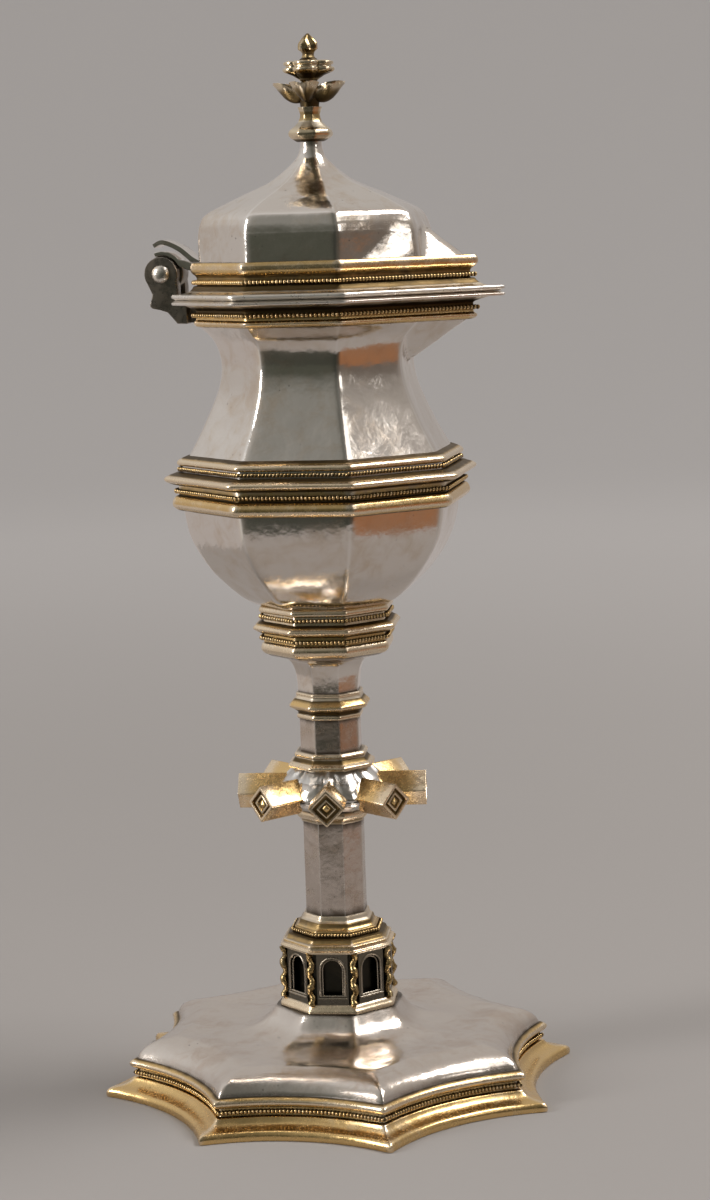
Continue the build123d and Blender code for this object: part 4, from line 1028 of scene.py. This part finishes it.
WALL_LEVELS = 10
wall_levels = [dome_base + 0.05 + (DOME_CURVE[0][1] - dome_base) * number / WALL_LEVELS
               for number in range(WALL_LEVELS)]
dome_points = smooth(DOME_CURVE, 7)
lid_section = ([(lid_face, lid_low.z), (lid_face, dome_base)]
               + [(lid_face, level) for level in wall_levels] + dome_points
               + [(RIVET_HOLE, lid_high.z), (RIVET_HOLE, lid_high.z - 3.7)]
               + [(max(face - SHEET, RIVET_HOLE), height - SHEET)
                  for face, height in reversed(dome_points) if height < lid_high.z - 3]
               + [(lid_face - SHEET, level) for level in reversed(wall_levels)]
               + [(lid_face - SHEET, dome_base), (lid_face - SHEET, lid_low.z)])
ring_object("lid_shell_raised", ["lid_shell"], "lid", lid_section, silver, edge=0.3, step=3.0,
            dents=SHEET_DENTS, radius=lid_radius, joint_grime=0, recess=False)

# ---------------------------------------------------------------- hinge
pin_low, pin_high = box_mm("hinge_pin")
PIN = Vector(((pin_low.x + pin_high.x) / 2, (pin_low.z + pin_high.z) / 2))


def pin_arc(radius, first, last, count):
    """Points on an arc about the pin, in the XZ plane."""
    angles = [math.radians(first + (last - first) * number / count) for number in range(count + 1)]
    return [(PIN.x + radius * math.cos(angle), PIN.y + radius * math.sin(angle)) for angle in angles]


knuckle_radius = 4.5
hinge_half = 6.0
slot_half = 2.15
ear_outline = pin_arc(knuckle_radius, -22, 212, 26) + [
    (-43.2, 214.6), (-42.9, 213.9), (-43.2, 212.6), (-43.7, 211.5), (-43.6, 210.7), (-43.0, 210.2),
    (-40.9, 209.8), (-38.9, 209.1), (-37.6, 207.6), (-36.4, 206.1), (-33.6, 206.0), (-33.6, 210.9),
    (-36.05, 210.9), (-36.05, 216.0)]
ears = [slab_object(f"hinge_ear_{number}", "hinge_bracket", "vessel", hinge_silver, ear_outline,
                    (hinge_half - slot_half) / 2, 0.3, side * (hinge_half + slot_half) / 2)
        for number, side in ((1, -1), (2, 1))]
bridge_outline = [
    (-43.0, 212.4), (-43.6, 211.4), (-43.0, 210.3), (-38.9, 209.2), (-36.4, 206.2),
    (-31.4, 206.2), (-31.4, 208.6), (-33.4, 210.8), (-36.05, 210.8), (-36.05, 212.4)]
slab_object("hinge_bridge", "hinge_bracket", "vessel", hinge_silver, bridge_outline,
            slot_half + 0.4, 0.2)
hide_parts("hinge_bracket")

strap_outline = pin_arc(4.85, 112, 22, 16)[:-1] + [
    (-35.6, 220.9), (-33.2, 220.0), (-30.7, 219.8), (-30.7, 221.7), (-32.6, 222.0),
    (-34.2, 222.6)] + pin_arc(5.95, 38, 112, 14)
strap = slab_object("hinge_strap", "lid_hinge_leaf", "lid", silver, strap_outline, 4.4, 0.3)
slab_object("hinge_middle_knuckle", "lid_hinge_leaf", "lid", hinge_silver,
            pin_arc(5.0, 0, 350, 35), 2.0, 0.25)
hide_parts("lid_hinge_leaf")

thumb_top = smooth([
    (-29.2, 222.0), (-31.8, 223.3), (-35.6, 226.3), (-40.2, 228.1), (-42.9, 227.0)], 6)
thumb_under = smooth([(-42.4, 226.1), (-40.2, 226.9), (-36.1, 225.1), (-32.6, 222.1)], 6)
thumb = slab_object("hinge_thumb_leaf", "lid_thumb_leaf", "lid", silver, thumb_top + thumb_under,
                    4.0, 0.25)
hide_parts("lid_thumb_leaf")


def turned_part(profile, sides, place_at, grime, wear_and_highlight):
    """A turned solid: place_at(radius, angle, along) puts each point of the profile."""
    surface = Surface()
    for radius, along in profile:
        for side in range(sides):
            surface.add(place_at(radius, 2 * math.pi * side / sides, along), grime, wear_and_highlight)
    surface.join_rings(sides, capped=True)
    return surface


def about_pin(radius, angle, along):
    return (PIN.x + radius * math.cos(angle), along, PIN.y - radius * math.sin(angle))


head = (pin_high.z - pin_low.z) / 2
head_profile = [(POINTED, 0.0), (0.9, -0.06), (1.6, -0.28), (2.1, -0.68), (head, -1.15),
                (head - 0.1, -1.3), (1.5, -1.3)]
pin_profile = ([(radius, -pin_high.y - depth) for radius, depth in head_profile]
               + [(radius, pin_high.y + depth) for radius, depth in reversed(head_profile)])
turned_part(pin_profile, 40, about_pin, 0.1, 0.3).piece(
    "hinge_pin_riveted", ["hinge_pin"], "vessel", flange_silver, 45, (0.03, 2.0), seed=4)

# ---------------------------------------------------------------- finial
base_low, base_high = box_mm("finial_base")
ring_object(
    "finial_base_octagon", ["finial_base"], "lid", soften(
        steps_from("finial_base", [
            (2.2, 0.0), (0.7, 0.9), (0.1, 1.5), (0.0, 2.2), (0.3, 2.9), (0.9, 3.4), (1.7, 4.1),
            (2.5, 5.0), (2.95, 6.0), (3.05, 7.0), (2.8, 8.0), (2.5, 8.9)])
        + [(0.15, base_high.z), (0.15, base_low.z + 3.8), (RIVET_HOLE, base_low.z + 3.7),
           (RIVET_HOLE, base_low.z)], 0.15),
    rich_gilt, edge=0.12, step=7.0, dents=(0.08, 1.6), joint_grime=0.3)

LEAF_ROWS = 14
LEAF_COLUMNS = 12


def leaf_part(direction, root, tip, half_width, thick, curl, droop):
    """A cupped leaf with a ridged middle: rows from the root to the tip, closed all round."""
    surface = Surface()
    for side in (1, -1):
        for row in range(LEAF_ROWS + 1):
            share = row / LEAF_ROWS
            distance = root[0] + (tip[0] - root[0]) * share
            height = (root[1] + (tip[1] - root[1]) * share ** 1.25
                      - droop * math.sin(math.pi * share))
            width = half_width * math.sin(math.pi * (share * 0.62 + 0.14)) ** 0.7
            width *= 1 + 0.10 * math.sin(share * math.pi * 4)
            if row == LEAF_ROWS:
                width *= 0.6
            for column in range(LEAF_COLUMNS + 1):
                across = 2 * column / LEAF_COLUMNS - 1
                cup = curl * abs(across) ** 1.4 * math.sin(math.pi * min(0.85 * share + 0.1, 1))
                ridge = 0.35 * math.exp(-(across / 0.18) ** 2)
                ripple = 0.10 * math.sin(across * 9 + share * 6)
                half_thick = side * thick * (1 - 0.75 * across ** 2) * (1.15 - share)
                place = around_stem(distance, direction, height + cup + ridge + ripple + half_thick,
                                    across * width)
                grime = 0.85 * (1 - abs(across)) * (1 - 0.5 * share) + (0.3 if side < 0 else 0.0)
                surface.add(place, grime, min(abs(across) ** 3 + share ** 4 + 0.5 * ridge, 1))
    wide = LEAF_COLUMNS + 1
    under = (LEAF_ROWS + 1) * wide
    for row in range(LEAF_ROWS):
        for column in range(LEAF_COLUMNS):
            here = row * wide + column
            surface.faces.append((here, here + wide, here + wide + 1, here + 1))
            surface.faces.append((under + here, under + here + 1, under + here + wide + 1,
                                  under + here + wide))
        left = row * wide
        right = left + LEAF_COLUMNS
        surface.faces.append((left, under + left, under + left + wide, left + wide))
        surface.faces.append((right + wide, under + right + wide, under + right, right))
    for column in range(LEAF_COLUMNS):
        surface.faces.append((column + 1, under + column + 1, under + column, column))
    for column in range(LEAF_COLUMNS):
        here = LEAF_ROWS * wide + column
        surface.faces.append((here, under + here, under + here + 1, here + 1))
    return surface


def about_axis(radius, angle, height):
    """A point of the leaves' hub, which swells a little towards each of the four leaves."""
    swollen = radius * (1 + 0.05 * math.cos(4 * angle))
    return (swollen * math.cos(angle), swollen * math.sin(angle), height)


leaves_low, leaves_high = box_mm("finial_leaves")
leaf_reach = (leaves_high.x - leaves_low.x) / 2
leaf_root = (0.6, leaves_low.z + 2.4)
leaf_tip = (leaf_reach - 0.1, leaves_high.z - 0.9)
leaf_parts = [leaf_part(direction, leaf_root, leaf_tip, 3.6, 0.75, 4.2, 2.3)
              for direction in (0, 90, 180, 270)]
hub_profile = [
    (0.3, leaves_low.z), (2.35, leaves_low.z), (2.5, leaves_low.z + 1.2), (2.7, leaves_low.z + 3.0),
    (2.2, leaves_low.z + 4.2), (1.9, leaves_low.z + 5.0), (1.85, leaves_high.z - 0.1),
    (0.3, leaves_high.z)]
leaf_parts.append(turned_part(hub_profile, 24, about_axis, 0.7, 0.0))
merged_object("finial_four_leaves", leaf_parts, "finial_leaves", "lid", rich_gilt, (0.12, 1.3))

flower_low, flower_high = box_mm("finial_flower")
flower_reach = (flower_high.x - flower_low.x) / 2
FLOWER_ROOT = 2.2               # radius of the flower's round root


def lobed_radius(degrees, radius, height):
    """The flower opens from a round root into four rounded lobes."""
    share = unit((radius - FLOWER_ROOT) / (flower_reach - FLOWER_ROOT))
    lobe = abs(math.cos(math.radians(2 * degrees))) ** 0.7
    return radius * (1 - 0.34 * share * (1 - lobe))


FLOWER_LIP = [(0.5, 3.1), (0.0, 3.6), (0.1, 4.1), (0.9, 4.4), (0.9, 4.8), (0.3, 5.1), (0.35, 5.7),
              (1.2, 6.0), (2.2, 5.3)]
flower_stalk = [(0.1, 0.0), (1.85, 0.0), (1.95, 0.6), (2.6, 1.3), (4.2, 2.3)]
flower_heart = [(2.6, 5.2), (2.35, 5.6), (2.5, 6.0), (2.3, 6.4)]
flower_profile = [(radius, flower_low.z + rise) for radius, rise in
                  flower_stalk + [(flower_reach - inward, rise) for inward, rise in FLOWER_LIP]
                  + flower_heart]
flower_profile += [(1.7, flower_high.z), (0.1, flower_high.z)]
ring_object("finial_upper_flower", ["finial_flower"], "lid", soften(flower_profile, 0.12), rich_gilt,
            step=4.0, radius=lobed_radius, dents=(0.10, 1.4), joint_grime=0.3)

bud_low, bud_high = box_mm("finial_bud")


def bud_radius(degrees, radius, height):
    """A closed bud: four sepals fold over it, so its outline swells and pinches."""
    share = (height - bud_low.z) / (bud_high.z - bud_low.z)
    lobes = math.cos(math.radians(4 * degrees + 120 * share))
    strength = 0.18 if 0.35 < share < 0.95 else 0.05
    return radius * (1 + strength * lobes)


bud_profile = [(radius, bud_low.z + rise) for radius, rise in (
    (1.7, 0.0), (1.5, 0.8), (1.75, 1.5), (2.5, 2.2), (2.6, 3.0), (2.25, 3.9), (1.6, 4.8),
    (0.9, 5.6))]
bud_profile.append((0.35, bud_high.z - 0.05))
ring_object("finial_bud_folded", ["finial_bud"], "lid",
            smooth(bud_profile, 4) + [(0.05, bud_high.z), (0.05, bud_low.z)],
            rich_gilt, step=6.0, radius=bud_radius, dents=(0.10, 1.2), joint_grime=0)

# ---------------------------------------------------------------- CAD nodes that keep their shape
SOFT_EDGE = 0.12
CAD_FINISHES = {
    # The arcade wall gets the near-black painted shade of its niches.
    "arcade_wall": niche_shade_black, "window_frames": dark_frame,
    "tie_rod": iron, "tie_rod_nut": iron, "foot_washer": iron, "finial_rivet": silver,
}
for node, material in CAD_FINISHES.items():
    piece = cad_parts[node]
    piece.data.materials.clear()
    piece.data.materials.append(material)
    bevel = piece.modifiers.new("soft_edges", "BEVEL")
    bevel.width = SOFT_EDGE * MM
    bevel.segments = 2
    bevel.limit_method = "ANGLE"

# ---------------------------------------------------------------- stage, light and camera
paper = Graph(bpy.data.materials.new("backdrop_paper"))
paper_tone = paper.mix(paper.noise(0.002, detail=2), (0.345, 0.325, 0.314), (0.365, 0.346, 0.334))
paper_shader = paper.finish(paper_tone, paper.remap(paper.noise(0.4), 0, 1, 0.85, 0.95),
                            paper.bump(paper.noise(0.8), 0.02, 0.1), metallic=0.0)
paper_shader.inputs["Specular IOR Level"].default_value = 0.15
# Painted light: the paper glows, more the farther it lies from the middle, making up for lamp light
# that falls off with distance.
paper_shader.inputs["Emission Color"].default_value = (1.0, 0.96, 0.94, 1)
from_middle = paper.add("ShaderNodeVectorMath", operation="LENGTH")
paper.feed(from_middle.inputs[0], paper.place)
painted_backdrop_glow = paper.remap(from_middle.outputs["Value"], 0.2, 1.4, 0.0, 0.18)
paper.feed(paper_shader.inputs["Emission Strength"], painted_backdrop_glow)

TABLE_RADIUS = 0.33             # the polished metal mirrors the floor this far out, then the room
ROOM_RADIUS = 2.6
COVE_RADIUS = 0.9
COVE_STEPS = 16
STAGE_SIDES = 96
ROOM_TOP = 3.2


def stage_object(name, profile):
    """A part of the floor or backdrop, turned about the axis: (radius, height) from the middle out."""
    mesh = bpy.data.meshes.new(name)
    surface = bmesh.new()
    rings = []
    for radius, height in profile:
        angles = [2 * math.pi * side / STAGE_SIDES for side in range(STAGE_SIDES)]
        rings.append([surface.verts.new((radius * math.cos(angle), radius * math.sin(angle), height))
                      for angle in angles])
    for inner, outer in zip(rings, rings[1:]):
        for side in range(STAGE_SIDES):
            following = (side + 1) % STAGE_SIDES
            surface.faces.new((inner[side], outer[side], outer[following], inner[following]))
    if profile[0][0] < TABLE_RADIUS:
        surface.faces.new(rings[0])
    surface.to_mesh(mesh)
    surface.free()
    shade(mesh, 60)
    mesh.materials.append(paper.owner)
    piece = bpy.data.objects.new(name, mesh)
    bpy.context.scene.collection.objects.link(piece)
    return piece


cove = []
for number in range(COVE_STEPS + 1):
    bend = math.pi / 2 * number / COVE_STEPS
    cove.append((ROOM_RADIUS - COVE_RADIUS + COVE_RADIUS * math.sin(bend),
                 COVE_RADIUS - COVE_RADIUS * math.cos(bend)))
stage_object("floor_middle", [(0.1, 0.0), (TABLE_RADIUS, 0.0)])
backdrop = stage_object("floor_and_backdrop",
                        [(TABLE_RADIUS, 0.0)] + cove + [(ROOM_RADIUS, ROOM_TOP)])
backdrop.visible_glossy = False
backdrop.visible_shadow = False

CAMERA_AZIMUTH = math.radians(11.6)    # the camera stands this far round towards the beak
CAMERA_DISTANCE = 0.7010
CAMERA_ASIDE = 0.00765
CAMERA_HEIGHT = 0.2314
CAMERA_PITCH = math.radians(8.13)
CAMERA_ROLL = math.radians(1.84)
CAMERA_LENS = 79.5
SENSOR_SIZE = 36

turn = Matrix.Rotation(CAMERA_AZIMUTH, 4, "Z")
camera_data = bpy.data.cameras.new("camera")
camera_data.lens = CAMERA_LENS
camera_data.sensor_fit = "VERTICAL"
camera_data.sensor_height = SENSOR_SIZE
camera_data.sensor_width = SENSOR_SIZE
camera_data.clip_start = 0.01
camera = bpy.data.objects.new("camera", camera_data)
camera.matrix_world = (
    turn @ Matrix.Translation((CAMERA_ASIDE, -CAMERA_DISTANCE, CAMERA_HEIGHT))
    @ Matrix.Rotation(math.pi / 2 - CAMERA_PITCH, 4, "X") @ Matrix.Rotation(-CAMERA_ROLL, 4, "Z"))
bpy.context.scene.collection.objects.link(camera)
bpy.context.scene.camera = camera


def soft_box(name, place, aim_height, size, power, colour=(1.0, 0.98, 0.96)):
    """A rectangular lamp that looks at a height on the axis, placed in the camera's turned frame."""
    data = bpy.data.lights.new(name, "AREA")
    data.shape = "RECTANGLE"
    data.size, data.size_y = size
    data.energy = power
    data.color = colour
    lamp = bpy.data.objects.new(name, data)
    where = turn @ Vector(place)
    aim = Vector((0, 0, aim_height))
    facing = (where - aim).to_track_quat("Z", "Y").to_matrix().to_4x4()
    lamp.matrix_world = Matrix.Translation(where) @ facing
    bpy.context.scene.collection.objects.link(lamp)


soft_box("right_box", (0.74, -0.42, 1.02), 0.18, (0.40, 0.38), 0.8, (1.0, 0.98, 0.95))
soft_box("beak_box", (0.90, -0.63, 0.57), 0.22, (0.28, 0.22), 0.5, (1.0, 0.98, 0.95))
soft_box("left_box", (-1.10, -0.42, 0.62), 0.15, (0.30, 0.75), 8)
soft_box("top_box", (0.92, 0.10, 1.42), 0.1, (0.62, 0.55), 14.5)

world = bpy.data.worlds.new("studio")
bpy.context.scene.world = world
sky = Graph(world, "Generated", clamped=False)


def sky_ramp(stops):
    """Colours by bearing: each stop is (degrees from the camera's side, colour)."""
    node = sky.add("ShaderNodeValToRGB")
    node.color_ramp.interpolation = "EASE"
    elements = node.color_ramp.elements
    for number, (degrees, colour) in enumerate(stops):
        position = (degrees + 180) / 360
        element = elements[number] if number < 2 else elements.new(position)
        element.position = position
        element.color = (*colour, 1)
    sky.feed(node.inputs["Fac"], turn_share)
    return node.outputs["Color"]


facing = sky.add("ShaderNodeVectorRotate", rotation_type="Z_AXIS")
facing.inputs["Angle"].default_value = -CAMERA_AZIMUTH
sky.feed(facing.inputs["Vector"], sky.place)
split = sky.add("ShaderNodeSeparateXYZ")
sky.feed(split.inputs["Vector"], facing.outputs["Vector"])
toward = sky.math("MULTIPLY", split.outputs["Y"], -1)
bearing = sky.math("ARCTAN2", split.outputs["X"], toward)
turn_share = sky.math("MULTIPLY_ADD", bearing, 1 / (2 * math.pi), 0.5)
rise = split.outputs["Z"]
WOOD_TOP = (-0.085, -0.055)     # the wooden thing ends between these rises of the view
CEILING = (0.10, 0.55)          # and the bright upper part of the room begins between these
# The room as the polished metal mirrors it: a dark side where the camera stands, a wooden thing
# below the level of the lid on the right, pale walls behind.
BELOW_ROOM = [
    (-180, (0.47, 0.43, 0.41)), (-120, (0.50, 0.46, 0.44)), (-86, (0.58, 0.54, 0.50)),
    (-52, (0.16, 0.15, 0.13)), (-26, (0.060, 0.062, 0.050)), (8, (0.040, 0.042, 0.034)),
    (44, (0.075, 0.055, 0.038)), (62, (0.36, 0.165, 0.078)), (74, (0.31, 0.16, 0.088)),
    (94, (0.33, 0.29, 0.26)), (180, (0.47, 0.43, 0.41))]
LEVEL_ROOM = [
    (-180, (0.45, 0.42, 0.40)), (-120, (0.52, 0.49, 0.47)), (-86, (0.60, 0.57, 0.54)),
    (-52, (0.18, 0.18, 0.165)), (-26, (0.080, 0.084, 0.066)), (4, (0.045, 0.046, 0.038)),
    (40, (0.085, 0.075, 0.060)), (66, (0.16, 0.135, 0.115)), (90, (0.30, 0.27, 0.25)),
    (180, (0.45, 0.42, 0.40))]
HIGH_ROOM = [
    (-180, (0.56, 0.535, 0.51)), (-104, (0.72, 0.71, 0.70)), (-60, (0.46, 0.45, 0.43)),
    (-26, (0.27, 0.27, 0.25)), (8, (0.14, 0.14, 0.125)), (44, (0.20, 0.185, 0.165)),
    (84, (0.42, 0.39, 0.36)), (180, (0.56, 0.535, 0.51))]
mottle = sky.add("ShaderNodeTexNoise")
mottle.inputs["Scale"].default_value = 3.2
mottle.inputs["Detail"].default_value = 2.0
sky.feed(mottle.inputs["Vector"], sky.place)
uneven = sky.math("ADD", rise, sky.math("MULTIPLY_ADD", mottle.outputs["Fac"], 0.24, -0.12))
room = sky.mix(sky.remap(rise, *WOOD_TOP), sky_ramp(BELOW_ROOM), sky_ramp(LEVEL_ROOM))
room = sky.mix(sky.remap(uneven, *CEILING), room, sky_ramp(HIGH_ROOM))
background = sky.nodes["Background"]
sky.feed(background.inputs["Color"], room)
background.inputs["Strength"].default_value = 1.0
bpy.context.scene.view_settings.view_transform = "Standard"
